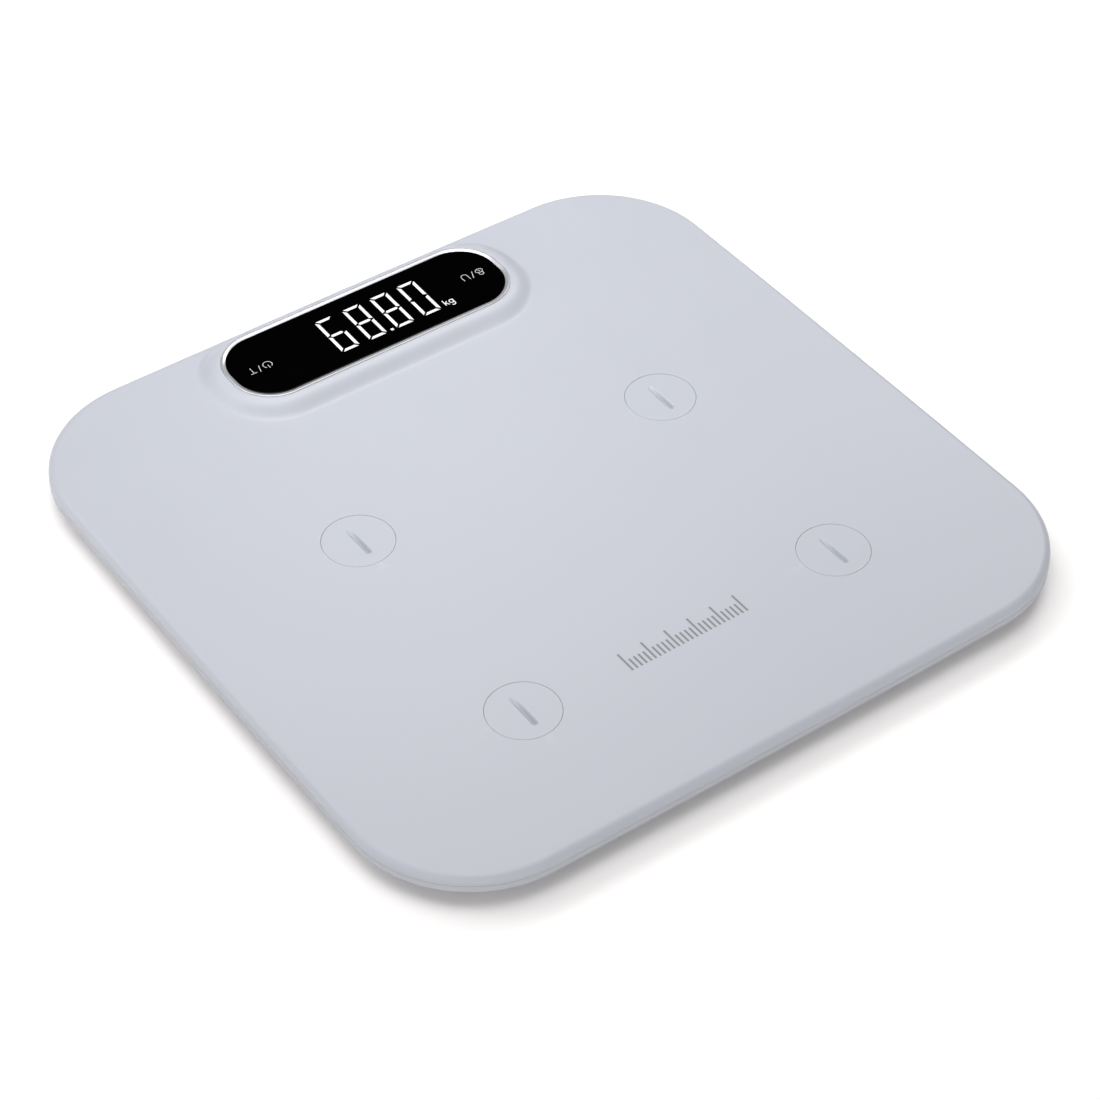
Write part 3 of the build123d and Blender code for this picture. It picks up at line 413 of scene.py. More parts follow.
# For each finish: its colour or the colour setting's name, its lowest and highest roughness, and
# where they differ from the defaults below, its other values.
FINISHES = {
    "shell": dict(colour="shell", rough=(0.40, 0.47), grain=2400, depth=0.0035, tone=0.025, wear=0.20),
    "cap": dict(colour="shell", rough=(0.40, 0.47), grain=2400, depth=0.0035, tone=0.025, wear=0.20),
    "base_shell": dict(colour="base", rough=(0.50, 0.62), grain=1600, depth=0.010, tone=0.04, wear=0.25),
    "bezel": dict(colour="ring", rough=(0.20, 0.28), metallic=0.5, grain=900, depth=0.0008, tone=0.05),
    "lens": dict(colour="lens", rough=(0.05, 0.09), grain=500, depth=0.0003, tone=0.3, specular=0.15),
    "lit": dict(colour=(0.02, 0.02, 0.02), rough=(0.35, 0.45), light="lit", power=1.05, tone=0.06),
    "key_print": dict(colour="key_print", rough=(0.4, 0.5), grain=5000, depth=0.002, tone=0.18),
    "marks": dict(colour="marks", rough=(0.42, 0.55), grain=5000, depth=0.002, tone=0.10),
    "gasket": dict(colour=(0.05, 0.05, 0.05), rough=(0.8, 0.95), grain=3500, depth=0.05, tone=0.3),
    "reflector": dict(colour=(0.85, 0.85, 0.84), rough=(0.4, 0.5), grain=1500, depth=0.006, tone=0.05),
    "diffuser": dict(colour=(0.93, 0.94, 0.95), rough=(0.3, 0.4), grain=1500, depth=0.003, tone=0.04),
    "touch_foam": dict(colour=(0.12, 0.12, 0.13), rough=(0.8, 0.95), grain=4000, depth=0.06, tone=0.3),
    "board": dict(colour=(0.04, 0.23, 0.11), rough=(0.25, 0.4), grain=700, depth=0.01, tone=0.25, dust=0.1),
    "chip": dict(colour=(0.03, 0.03, 0.035), rough=(0.5, 0.65), grain=4000, depth=0.02, tone=0.2, dust=0.1),
    "socket_plastic": dict(colour=(0.86, 0.85, 0.80), rough=(0.45, 0.55), grain=2500, depth=0.01, tone=0.05),
    "silicone": dict(colour=(0.88, 0.88, 0.86), rough=(0.35, 0.5), grain=600, depth=0.04, tone=0.06),
    "contact_metal": dict(
        colour=(0.80, 0.78, 0.72), rough=(0.2, 0.35), metallic=1.0,
        grain=1200, stretch=(1, 12, 1), depth=0.004
    ),
    "cell_can": dict(colour=(0.76, 0.76, 0.76), rough=(0.2, 0.32), metallic=1.0, grain=1500, depth=0.003),
    "wire_red": dict(colour=(0.55, 0.03, 0.03), rough=(0.4, 0.5), grain=2500, depth=0.008, tone=0.1),
    "wire_black": dict(colour=(0.03, 0.03, 0.03), rough=(0.4, 0.5), grain=2500, depth=0.008, tone=0.2),
    "screw_steel": dict(
        colour=(0.62, 0.62, 0.63), rough=(0.25, 0.4), metallic=1.0,
        grain=2500, depth=0.006, tone=0.15, wear=0.4
    ),
    "label": dict(colour=(0.90, 0.90, 0.89), rough=(0.45, 0.6), grain=3000, depth=0.006, tone=0.04, wear=0.2),
    "foot_plastic": dict(
        colour=(0.60, 0.61, 0.64), rough=(0.5, 0.6), grain=1800, depth=0.01, tone=0.05, wear=0.2
    ),
    "foot_rubber": dict(colour="rubber", rough=(0.7, 0.85), grain=3000, depth=0.03, tone=0.12, dust=0.2),
    "cell_steel": dict(
        colour=(0.58, 0.58, 0.60), rough=(0.28, 0.4), metallic=1.0,
        grain=1400, stretch=(14, 1, 1), depth=0.005
    ),
    "frame_plastic": dict(colour=(0.80, 0.80, 0.80), rough=(0.45, 0.55), grain=1500, depth=0.01, dust=0.1),
    "loom": dict(colour=(0.75, 0.74, 0.70), rough=(0.5, 0.6), grain=2500, depth=0.02, tone=0.1),
    "floor": dict(colour="floor", rough=(0.75, 0.85), grain=300, depth=0.004, tone=0.01),
}
DEFAULTS = dict(metallic=0.0, grain=2000, stretch=(1, 1, 1), depth=0.004, tone=0.05, wear=0.0, dust=0.0)
PATCH_SCALE = 38.0
DUST_COLOUR = (0.46, 0.44, 0.41, 1.0)


def group_tree(name, inputs, outputs):
    """A new shader node group with named sockets, and its two end nodes."""
    tree = bpy.data.node_groups.new(name, "ShaderNodeTree")
    for label, kind, value in inputs:
        socket = tree.interface.new_socket(name=label, in_out="INPUT", socket_type=kind)
        socket.default_value = value
    for label, kind in outputs:
        tree.interface.new_socket(name=label, in_out="OUTPUT", socket_type=kind)
    return tree, tree.nodes.new("NodeGroupInput"), tree.nodes.new("NodeGroupOutput")


def math_node(tree, operation, first, second):
    """A Math node of two inputs, each a socket or a number. Returns its output."""
    node = tree.nodes.new("ShaderNodeMath")
    node.operation = operation
    for socket, value in zip(node.inputs, (first, second)):
        if isinstance(value, (int, float)):
            socket.default_value = value
        else:
            tree.links.new(value, socket)
    return node.outputs[0]


def mix_colours(tree, factor, first, second):
    """A colour Mix node. Returns its output."""
    node = tree.nodes.new("ShaderNodeMix")
    node.data_type = "RGBA"
    tree.links.new(factor, node.inputs[0])
    tree.links.new(first, node.inputs[6])
    tree.links.new(second, node.inputs[7])
    return node.outputs[2]


def fine_grain():
    """Group: the fine relief of a moulded, drawn or cast surface, and its larger soft patches."""
    if "Fine Grain" in bpy.data.node_groups:
        return bpy.data.node_groups["Fine Grain"]
    tree, start, end = group_tree(
        "Fine Grain",
        [("Scale", "NodeSocketFloat", 2000.0), ("Stretch", "NodeSocketVector", (1, 1, 1))],
        [("Height", "NodeSocketFloat"), ("Patches", "NodeSocketFloat")],
    )
    place = tree.nodes.new("ShaderNodeTexCoord")
    mapping = tree.nodes.new("ShaderNodeMapping")
    relief = tree.nodes.new("ShaderNodeTexNoise")
    relief.inputs["Detail"].default_value = 3.0
    patches = tree.nodes.new("ShaderNodeTexNoise")
    patches.inputs["Scale"].default_value = PATCH_SCALE
    patches.inputs["Detail"].default_value = 2.0
    tree.links.new(place.outputs["Object"], mapping.inputs["Vector"])
    tree.links.new(start.outputs["Stretch"], mapping.inputs["Scale"])
    tree.links.new(mapping.outputs["Vector"], relief.inputs["Vector"])
    tree.links.new(start.outputs["Scale"], relief.inputs["Scale"])
    tree.links.new(place.outputs["Object"], patches.inputs["Vector"])
    tree.links.new(relief.outputs["Fac"], end.inputs["Height"])
    tree.links.new(patches.outputs["Fac"], end.inputs["Patches"])
    return tree


def tone_and_wear():
    """Group: soft changes of tone, and edges rubbed lighter where the surface is pointed."""
    if "Tone And Wear" in bpy.data.node_groups:
        return bpy.data.node_groups["Tone And Wear"]
    tree, start, end = group_tree(
        "Tone And Wear",
        [
            ("Colour", "NodeSocketColor", (0.8, 0.8, 0.8, 1)),
            ("Dark Colour", "NodeSocketColor", (0.7, 0.7, 0.7, 1)),
            ("Worn Colour", "NodeSocketColor", (0.9, 0.9, 0.9, 1)),
            ("Patches", "NodeSocketFloat", 0.5),
            ("Wear", "NodeSocketFloat", 0.0),
        ],
        [("Colour", "NodeSocketColor"), ("Worn", "NodeSocketFloat")],
    )
    shape = tree.nodes.new("ShaderNodeNewGeometry")
    pointed = tree.nodes.new("ShaderNodeMapRange")
    pointed.inputs["From Min"].default_value = 0.52
    pointed.inputs["From Max"].default_value = 0.60
    tree.links.new(shape.outputs["Pointiness"], pointed.inputs["Value"])
    worn = math_node(tree, "MULTIPLY", pointed.outputs["Result"], start.outputs["Wear"])
    worn = math_node(tree, "MULTIPLY", worn, start.outputs["Patches"])
    toned = mix_colours(tree, start.outputs["Patches"], start.outputs["Dark Colour"], start.outputs["Colour"])
    tree.links.new(mix_colours(tree, worn, toned, start.outputs["Worn Colour"]), end.inputs["Colour"])
    tree.links.new(worn, end.inputs["Worn"])
    return tree


def settled_dust():
    """Group: a thin, patchy film of dust on faces that look up or down."""
    if "Settled Dust" in bpy.data.node_groups:
        return bpy.data.node_groups["Settled Dust"]
    tree, start, end = group_tree(
        "Settled Dust",
        [
            ("Colour", "NodeSocketColor", (0.8, 0.8, 0.8, 1)),
            ("Dust Colour", "NodeSocketColor", DUST_COLOUR),
            ("Patches", "NodeSocketFloat", 0.5),
            ("Amount", "NodeSocketFloat", 0.0),
        ],
        [("Colour", "NodeSocketColor"), ("Dust", "NodeSocketFloat")],
    )
    shape = tree.nodes.new("ShaderNodeNewGeometry")
    split = tree.nodes.new("ShaderNodeSeparateXYZ")
    tree.links.new(shape.outputs["Normal"], split.inputs["Vector"])
    level = math_node(tree, "ABSOLUTE", split.outputs["Z"], 0.0)
    film = math_node(tree, "MULTIPLY", level, start.outputs["Patches"])
    film = math_node(tree, "MULTIPLY", film, start.outputs["Amount"])
    dusted = mix_colours(tree, film, start.outputs["Colour"], start.outputs["Dust Colour"])
    tree.links.new(dusted, end.inputs["Colour"])
    tree.links.new(film, end.inputs["Dust"])
    return tree


def place_group(tree, group, **values):
    """A node that uses a group, with its inputs set to numbers and colours or linked to sockets."""
    node = tree.nodes.new("ShaderNodeGroup")
    node.node_tree = group
    for label, value in values.items():
        socket = node.inputs[label.replace("_", " ")]
        if isinstance(value, bpy.types.NodeSocket):
            tree.links.new(value, socket)
        else:
            socket.default_value = value
    return node


def finish(name):
    """The finish of that name: a Principled shader fed by the grain, tone, wear and dust groups."""
    if name in bpy.data.materials and bpy.data.materials[name].get("scale_finish"):
        return bpy.data.materials[name]
    facts = {**DEFAULTS, **FINISHES[name]}
    hue = facts.get("light", facts["colour"])
    hue = tuple(getattr(colours(), hue)) if isinstance(hue, str) else hue
    if name in bpy.data.materials:
        bpy.data.materials[name].name = f"{name}_plain"
    material = bpy.data.materials.new(name)
    material["scale_finish"] = True
    material.use_nodes = True
    tree = material.node_tree
    shader = tree.nodes["Principled BSDF"]
    grain = place_group(tree, fine_grain(), Scale=float(facts["grain"]), Stretch=facts["stretch"])
    patches = grain.outputs["Patches"]
    tone = place_group(
        tree,
        tone_and_wear(),
        Colour=(*(min(1.0, part * (1 + facts["tone"] / 2)) for part in hue), 1),
        Dark_Colour=(*(part * (1 - facts["tone"] / 2) for part in hue), 1),
        Worn_Colour=(*(part + (1 - part) * 0.35 for part in hue), 1),
        Patches=patches,
        Wear=facts["wear"],
    )
    surface = tone.outputs["Colour"]
    if facts["dust"]:
        surface = place_group(
            tree, settled_dust(), Colour=surface, Patches=patches, Amount=facts["dust"]
        ).outputs["Colour"]
    if "light" in facts:
        tree.links.new(surface, shader.inputs["Emission Color"])
        shader.inputs["Emission Strength"].default_value = facts["power"]
        shader.inputs["Base Color"].default_value = (*facts["colour"], 1)
    else:
        tree.links.new(surface, shader.inputs["Base Color"])
    spread = tree.nodes.new("ShaderNodeMapRange")
    spread.inputs["To Min"].default_value, spread.inputs["To Max"].default_value = facts["rough"]
    tree.links.new(patches, spread.inputs["Value"])
    tree.links.new(spread.outputs["Result"], shader.inputs["Roughness"])
    bump = tree.nodes.new("ShaderNodeBump")
    bump.inputs["Distance"].default_value = facts["depth"] * MM
    tree.links.new(grain.outputs["Height"], bump.inputs["Height"])
    tree.links.new(bump.outputs["Normal"], shader.inputs["Normal"])
    shader.inputs["Metallic"].default_value = facts["metallic"]
    if "specular" in facts:
        shader.inputs["Specular IOR Level"].default_value = facts["specular"]
    return material


# ------------------------------------------------
# Pieces
# ------------------------------------------------


def mound_reach(outward, start):
    """How far the display's mound runs out from its top edge, for each direction.

    It is the lesser of the mound's run and the room left before the far edge, made smooth:
    (run^-4 + room^-4)^(-1/4), where the room grows as one over the direction's lean backwards.
    """
    settings = sizes()
    limit = start + settings.mound_back_run
    lean = np.maximum(outward[:, 1], 0.05)
    room = limit / lean - start
    return (settings.mound_run**-4.0 + room**-4.0) ** -0.25


class SCALE_OT_platform(bpy.types.Operator):
    """Build the platform: one moulding with a rolled rim, a display mound and four sockets"""

    bl_idname = "bathroom_scale.platform"
    bl_label = "Platform"

    def execute(self, context):
        settings = sizes()
        edge, wall = settings.edge_radius, settings.wall
        skirt_bottom = TOP - SKIRT_DEPTH
        ceiling = TOP - wall
        outline = outline_path()
        rim = [
            (-5.0 * MM, ceiling),
            *rounding((-wall - 0.6 * MM, ceiling - 0.6 * MM), 0.6 * MM, 90, 0, 4),
            (-wall, skirt_bottom + 0.1 * MM),
            (-wall + 0.1 * MM, skirt_bottom),
            *rounding((-0.1 * MM, skirt_bottom + 0.1 * MM), 0.1 * MM, -90, 0, 4),
            *rounding((-edge, TOP - edge), edge, 0, 90, 12),
            (-edge - 0.35 * MM, TOP),
        ]
        patches = [swept(outline, rim)]

        display = display_path()
        recess = RING_REACH + 0.05 * MM
        recess_floor = float(LENS_LOW[2]) - 0.4 * MM
        recess_under = recess_floor - 1.5 * MM
        start = recess + 0.22 * MM
        run = mound_reach(display[1], start)
        share = np.linspace(0, 1, 18)[:, None]
        skew = share**1.2
        drop = skew * skew * (3 - 2 * skew)
        slope_reach = start + run * share
        slope_height = np.broadcast_to(MOUND_TOP - (MOUND_TOP - TOP) * drop, slope_reach.shape)
        foot = (start + run + 0.25 * MM)[None]
        skirt = np.concatenate([slope_reach, foot])
        skirt_height = np.concatenate([slope_height, np.full_like(foot, TOP)])
        mound = sweep(display, skirt, skirt_height)
        patches.append(net(mound))
        patches.append(swept(display, [
            (start, MOUND_TOP),
            (recess, MOUND_TOP - 0.15 * MM),
            (recess, recess_floor),
            (recess - 0.8 * MM, recess_floor),
        ]))
        cavity = RING_REACH + 2.05 * MM
        patches.append(swept(display, [
            (cavity - 0.8 * MM, recess_under),
            (cavity - 0.3 * MM, recess_under),
            (cavity, recess_under - 0.3 * MM),
            (cavity, ceiling),
            (cavity + 0.8 * MM, ceiling),
        ]))

        window_x = np.array([REFLECTOR_LOW[0], REFLECTOR_HIGH[0]]) + np.array([-0.4, 0.4]) * MM
        window_y = np.array([REFLECTOR_LOW[1], REFLECTOR_HIGH[1]]) + np.array([-0.4, 0.4]) * MM
        window = np.array([[x, y] for x, y in zip(window_x[[0, 1, 1, 0]], window_y[[0, 0, 1, 1]])])
        holes = [window]
        for pad in ("touch_pad_left", "touch_pad_right"):
            low, high, middle = node_box(pad)
            hole = circle_path(middle, 40)
            holes.append(sweep(hole, [(high[0] - low[0]) / 2 + 0.7 * MM], [0.0])[0])
        for hole in holes:
            wall_rows = np.stack([
                np.column_stack([hole[:, :2], np.full(len(hole), z)])
                for z in (recess_floor, recess_under)
            ])
            patches.append(net(wall_rows))
        floor_edge = sweep(display, [recess - 0.8 * MM], [0.0])[0]
        under_edge = sweep(display, [cavity - 0.8 * MM], [0.0])[0]
        patches.append(level_fill([floor_edge, *holes], recess_floor, 6 * MM))
        patches.append(level_fill([under_edge, *holes], recess_under, 6 * MM))

        top_loops = [sweep(outline, [rim[-1][0]], [0.0])[0], mound[-1]]
        ceiling_loops = [sweep(outline, [rim[0][0]], [0.0])[0], sweep(display, [cavity + 0.8 * MM], [0.0])[0]]
        for corner in CORNERS:
            middle = node_box(f"coin_cap_{corner}")[2]
            socket = circle_path(middle)
            bore = CAP_RADIUS + CAP_GAP
            patches.append(swept(socket, [
                (bore + 0.6 * MM, TOP),
                (bore + 0.05 * MM, TOP),
                (bore, TOP - 0.05 * MM),
                (bore, 12.9 * MM),
                (11.4 * MM, 12.9 * MM),
                (11.4 * MM, 11.3 * MM),
                (13.4 * MM, 11.3 * MM),
                (13.4 * MM, 8.2 * MM),
                (0.0, 8.2 * MM),
            ]))
            patches.append(swept(socket, [
                (15.8 * MM, ceiling),
                (15.2 * MM, ceiling),
                (15.2 * MM, 6.6 * MM),
                (0.0, 6.6 * MM),
            ]))
            top_loops.append(sweep(socket, [bore + 0.6 * MM], [0.0])[0])
            ceiling_loops.append(sweep(socket, [15.8 * MM], [0.0])[0])
        patches.append(level_fill(top_loops, TOP, 9 * MM))
        patches.append(level_fill(ceiling_loops, ceiling, 12 * MM))
        make_piece("platform_shell", patches, "scale_body", "shell", replaces=("platform",))
        return {"FINISHED"}


class SCALE_OT_caps(bpy.types.Operator):
    """Build the four caps, each with a scooped slot for a coin and two lugs below"""

    bl_idname = "bathroom_scale.caps"
    bl_label = "Coin Caps"

    def execute(self, context):
        settings = sizes()
        slot_radius = settings.slot_width / 2
        slot_half = settings.slot_length / 2 - slot_radius
        share = np.linspace(1, 0, 11)
        across = 1 - share * share * (3 - 2 * share)
        rim_radius = CAP_RADIUS + CAP_GAP / 2
        for corner in CORNERS:
            low, high, middle = node_box(f"coin_cap_{corner}")
            body = circle_path(middle)
            slot = round_path(middle, slot_half, along_y=True, corner_steps=7, side_steps=30, end_steps=0)
            patches = [swept(body, [
                (0.0, TOP - 2.0 * MM),
                (9.2 * MM, TOP - 2.0 * MM),
                (9.2 * MM, 8.6 * MM),
                (11.1 * MM, 8.6 * MM),
                (11.1 * MM, TOP - 2.0 * MM),
                (rim_radius, TOP - 2.0 * MM),
                *rounding((rim_radius - CAP_EDGE, TOP - CAP_EDGE), CAP_EDGE, 0, 90, 6),
                (rim_radius - 0.6 * MM, TOP),
            ])]
            scoop = sweep(slot, share * slot_radius, share * 0.0)
            along = (scoop[..., 1] - middle[1]) / (slot_half + slot_radius)
            fade = 1 - (np.abs(along + 0.5) / 1.5) ** 2
            scoop[..., 2] = TOP - settings.slot_depth * across[:, None] * fade
            patches.append(net(scoop))
            collar = sweep(slot, [slot_radius + 0.4 * MM, slot_radius], [TOP, TOP])
            patches.append(net(collar))
            edge = sweep(body, [rim_radius - 0.6 * MM], [0.0])[0]
            patches.append(level_fill([edge, collar[0]], TOP, 2.5 * MM))
            lug = np.linspace(-math.radians(22), math.radians(22), 9)
            for side in (0.0, math.pi):
                outer = np.stack([np.cos(lug + side), np.sin(lug + side)], axis=1)
                ring = np.concatenate([outer * 12.9 * MM, outer[::-1] * 10.9 * MM]) + middle[:2]
                patches.append(prisms([ring], 8.62 * MM, 10.98 * MM))
            make_piece(
                f"coin_cap_{corner}_shell", patches, f"cap_{corner}", "cap", replaces=(f"coin_cap_{corner}",)
            )
        return {"FINISHED"}


class SCALE_OT_display(bpy.types.Operator):
    """Build the black lens and the bright ring round it"""

    bl_idname = "bathroom_scale.display"
    bl_label = "Lens And Ring"

    def execute(self, context):
        path = display_path()
        lens_reach = sizes().lens_reach
        inner = lens_reach + 0.05 * MM
        bottom = float(BEZEL_LOW[2])
        crest = inner + 1.0 * MM
        ring = [
            (inner, bottom),
            (RING_REACH, bottom),
            *rounding((RING_REACH - 0.42 * MM, RING_TOP - 0.42 * MM), 0.42 * MM, 0, 90, 8),
            (crest + 0.08 * MM, RING_TOP),
            (crest, RING_TOP - 0.04 * MM),
            (inner + 0.05 * MM, LENS_TOP - 0.02 * MM),
            (inner, LENS_TOP - 0.07 * MM),
            (inner, bottom),
        ]
        make_piece("display_ring", [swept(path, ring)], "scale_body", "bezel", replaces=("display_bezel",))
        flange = float(LENS_HIGH[1] - LENS_LOW[1]) / 2
        lens_bottom = float(LENS_LOW[2])
        inset = lens_reach - 0.6 * MM
        lens = [
            (inset, lens_bottom),
            (flange, lens_bottom),
            (flange, lens_bottom + 0.6 * MM),
            (lens_reach, lens_bottom + 0.6 * MM),
            *rounding((lens_reach - 0.12 * MM, LENS_TOP - 0.12 * MM), 0.12 * MM, 0, 90, 5),
            (inset, LENS_TOP),
        ]
        rim = sweep(path, [inset], [0.0])[0]
        patches = [
            swept(path, lens),
            level_fill([rim], lens_bottom, 6 * MM),
            level_fill([rim], LENS_TOP, 6 * MM),
        ]
        make_piece("display_glass", patches, "scale_body", "lens", replaces=("display_lens",))
        return {"FINISHED"}


class SCALE_OT_readout(bpy.types.Operator):
    """Build the lit number, its unit and the print of the two touch keys"""

    bl_idname = "bathroom_scale.readout"
    bl_label = "Readout"

    def execute(self, context):
        settings = sizes()
        low, high = LENS_TOP - 0.004 * MM, LENS_TOP + settings.film
        digits = [letter for letter in settings.reading if letter.isdigit()]
        first = DIGITS_MIDDLE[0] - settings.digit_pitch * (len(digits) - 1) / 2
        lit_bars = [
            bar + [first + index * settings.digit_pitch, DISPLAY_Y]
            for index, digit in enumerate(digits)
            for lit, bar in zip(LIT_BARS[digit], digit_bars())
            if lit
        ]
        half = settings.point_size / 2
        point_x = first + (settings.reading.index(".") - 0.5) * settings.digit_pitch
        point_y = DISPLAY_Y - settings.digit_height / 2 + half
        point = half * np.array([[-1, -1], [1, -1], [1, 1], [-1, 1]]) + [point_x, point_y]
        quads = [bar for bar in lit_bars if len(bar) == 4]
        patches = [prisms([*quads, point], low, high)]
        patches.append(prisms([bar for bar in lit_bars if len(bar) == 6], low, high))
        for line in unit_lines():
            patches.append(stroke(line, UNIT_STROKE, low, high))
        make_piece("lit_reading", patches, "scale_body", "diffuser", look="lit", sharp=20)
        for name, lines in (("key_print_left", left_key_lines()), ("key_print_right", right_key_lines())):
            patches = [stroke(line, KEY_STROKE, low, high) for line in lines]
            make_piece(name, patches, "scale_body", "label", look="key_print", sharp=20)
        return {"FINISHED"}


def digit_bars():
    """A digit's seven bars about its middle, mitred where two meet, in the order of LIT_BARS.

    A level bar is a trapezium with its long edge outside, the middle bar has a point at each end,
    and an upright is cut along the mitres. Then x grows by lean × y.
    """
    settings = sizes()
    x, y = settings.digit_width / 2, settings.digit_height / 2
    bar, gap = settings.bar_width, settings.bar_gap
    level = np.array([[gap - x, y], [x - gap, y], [x - gap - bar, y - bar], [gap + bar - x, y - bar]])
    tip, shoulder = x - gap - bar / 2, x - gap - bar
    side = np.array([[-tip, 0], [-shoulder, bar / 2], [shoulder, bar / 2]])
    middle = np.concatenate([side, -side])
    upright = np.array([[-x, y - gap], [-x, gap / 2], [bar - x, gap / 2 + bar / 2], [bar - x, y - gap - bar]])
    bars = [level, middle, level * [1, -1]]
    bars += [upright * flip for flip in ([1, 1], [-1, 1], [1, -1], [-1, -1])]
    return [outline + settings.digit_lean * outline[:, 1:] * [1, 0] for outline in bars]


def from_display(points):
    """Points given in millimetres from the display's middle, as metres in the frame."""
    return np.asarray(points, float) * MM + [0, DISPLAY_Y]


def bend(x, y, radius_x, radius_y, first, last, steps=18):
    """Part of an ellipse, with its angles in degrees."""
    circle = arc((0, 0), 1, math.radians(first), math.radians(last), steps)
    return np.array([x, y]) + circle * [radius_x, radius_y]


def unit_lines():
    """The unit after the number: a k of three strokes, and a g of a bowl and a hooked stem."""
    hook = np.concatenate([[[35.05, -8.05]], bend(34.15, -10.75, 0.9, 0.85, 0, -150, 10)])
    return [from_display(line) for line in (
        [[31.0, -7.0], [31.0, -10.5]],
        [[32.45, -8.15], [31.1, -9.35]],
        [[31.55, -9.0], [32.55, -10.5]],
        bend(34.15, -9.15, 0.85, 1.0, 0, 360),
        hook,
    )]


def left_key_lines():
    """The left key's print, turned to be read from the far side: a T, a slash and a power sign."""
    return [from_display(line) for line in (
        [[-55.1, -1.6], [-52.35, -1.6]],
        [[-53.72, -1.6], [-53.72, 2.0]],
        [[-51.0, -2.2], [-50.0, 1.45]],
        bend(-46.7, 0.0, 1.85, 1.85, -54, 232, 30),
        [[-46.7, -2.2], [-46.7, -0.1]],
    )]


def right_key_lines():
    """The right key's print, turned the same way: a U, a slash and a small padlock."""
    arch = np.concatenate([[[45.75, -1.95]], bend(47.12, 0.5, 1.37, 1.35, 180, 0, 14), [[48.49, -1.95]]])
    return [from_display(line) for line in (
        arch,
        [[49.9, -2.15], [51.4, 1.8]],
        bend(54.2, 0.5, 1.6, 1.15, 0, 360, 24),
        np.concatenate([[[53.25, -0.55]], bend(54.2, -1.35, 0.95, 1.0, 180, 360, 12), [[55.15, -0.55]]]),
        [[53.6, 0.5], [54.8, 0.5]],
    )]


class SCALE_OT_marks(bpy.types.Operator):
    """Print a plain row of measuring marks near the platform's front edge"""

    bl_idname = "bathroom_scale.marks"
    bl_label = "Printed Marks"

    def execute(self, context):
        settings = sizes()
        count = settings.mark_count
        x = np.linspace(-27.0, 24.6, count) * MM
        tall = np.where(np.arange(count) % 5 == 0, 9.5, 5.4) * MM
        base_y = -93.6 * MM
        half = 0.42 * MM
        corners = np.array([[-1, 0], [1, 0], [1, 1], [-1, 1]])
        bars = np.stack([x, np.full(count, base_y)], axis=1)[:, None] + corners * np.stack(
            [np.full(count, half), tall], axis=1
        )[:, None]
        patches = [prisms(bars, TOP - 0.004 * MM, TOP + settings.film)]
        make_piece("printed_marks", patches, "scale_body", "label", look="marks", sharp=20)
        return {"FINISHED"}


class SCALE_OT_foot_pads(bpy.types.Operator):
    """Build the four rubber pads, with rings cut in the face that grips the floor"""

    bl_idname = "bathroom_scale.foot_pads"
    bl_label = "Foot Pads"

    def execute(self, context):
        groove = sizes().pad_groove
        ring_reach = np.arange(3.0, 13.0, 2.2) * MM
        steps = np.array([0.0, 0.15, 0.75, 0.9]) * MM
        depth = np.array([0.0, 1.0, 1.0, 0.0]) * groove
        reach = (ring_reach[:, None] + steps).ravel()
        height = np.tile(depth, len(ring_reach))
        for corner in CORNERS:
            low, high, middle = node_box(f"foot_pad_{corner}")
            radius, top = float(high[0] - low[0]) / 2, float(high[2])
            profile = [
                (0.0, 0.0),
                *zip(reach, height),
                *rounding((radius - 0.5 * MM, 0.5 * MM), 0.5 * MM, -90, 0, 6),
                (radius, top),
                (0.0, top),
            ]
            make_piece(
                f"foot_pad_{corner}_ringed",
                [swept(circle_path(middle), profile)],
                f"foot_{corner}",
                "foot_rubber",
                replaces=(f"foot_pad_{corner}",),
                sharp=50,
            )
        return {"FINISHED"}


class SCALE_OT_door_grip(bpy.types.Operator):
    """Add the ribs that a thumb presses on the battery door"""

    bl_idname = "bathroom_scale.door_grip"
    bl_label = "Door Grip"

    def execute(self, context):
        low, high, middle = node_box("battery_door")
        face = float(low[2])
        patches = []
        for index in range(5):
            y = low[1] + (3.0 + 1.5 * index) * MM
            reach = (7.0 - 0.8 * index) * MM
            ends = round_path((middle[0], y), reach, corner_steps=5, side_steps=2, end_steps=0)
            patches.append(swept(ends, [
                (0.0, face + 0.1 * MM),
                (0.4 * MM, face + 0.1 * MM),
                (0.4 * MM, face - 0.1 * MM),
                (0.25 * MM, face - 0.25 * MM),
                (0.0, face - 0.25 * MM),
            ]))
        make_piece("battery_door_grip", patches, "battery_door", "base_shell")
        return {"FINISHED"}


class SCALE_OT_finishes(bpy.types.Operator):
    """Give every part kept from the frame its own finish"""

    bl_idname = "bathroom_scale.finishes"
    bl_label = "Frame Finishes"

    def execute(self, context):
        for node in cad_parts.values():
            for holder in node.material_slots:
                holder.material = finish(holder.material.name.split(".")[0].removesuffix("_plain"))
        return {"FINISHED"}


# The sky is dark but for soft lobes. Each has a direction, how tightly it is gathered round that
# direction, and its radiance there. One more lobe takes light away, as a black flag does.
SKY_LOBES = [
    ((0.0, 0.0, 1.0), 20.0, 5.5),
    ((0.0, -1.0, 0.1), 4.0, 1.5),
    ((-1.0, 0.0, 0.1), 4.0, 1.5),
    ((-0.6, -0.8, 0.1), 8.0, 1.5),
    ((1.0, 0.0, 0.1), 4.0, 0.5),
]
SKY_FLAG = ((0.6, 0.8, 0.95), 40.0, 1.0)
FLOOR_HALF = 6.0
STUDIO_LIGHTS = [
    ("back_key", (0.0, 0.25, 0.5), 0.5, 0.8),
    ("low_back", (0.1, 0.2, 0.35), 0.3, 0.5),
    ("right_back", (0.75, 0.4, 0.6), 0.4, 2.0),
    ("left_back", (-0.45, 0.45, 0.6), 0.6, 2.5),
]
SENSOR_WIDTH = 36.0
CAMERA_LENS = 99.2
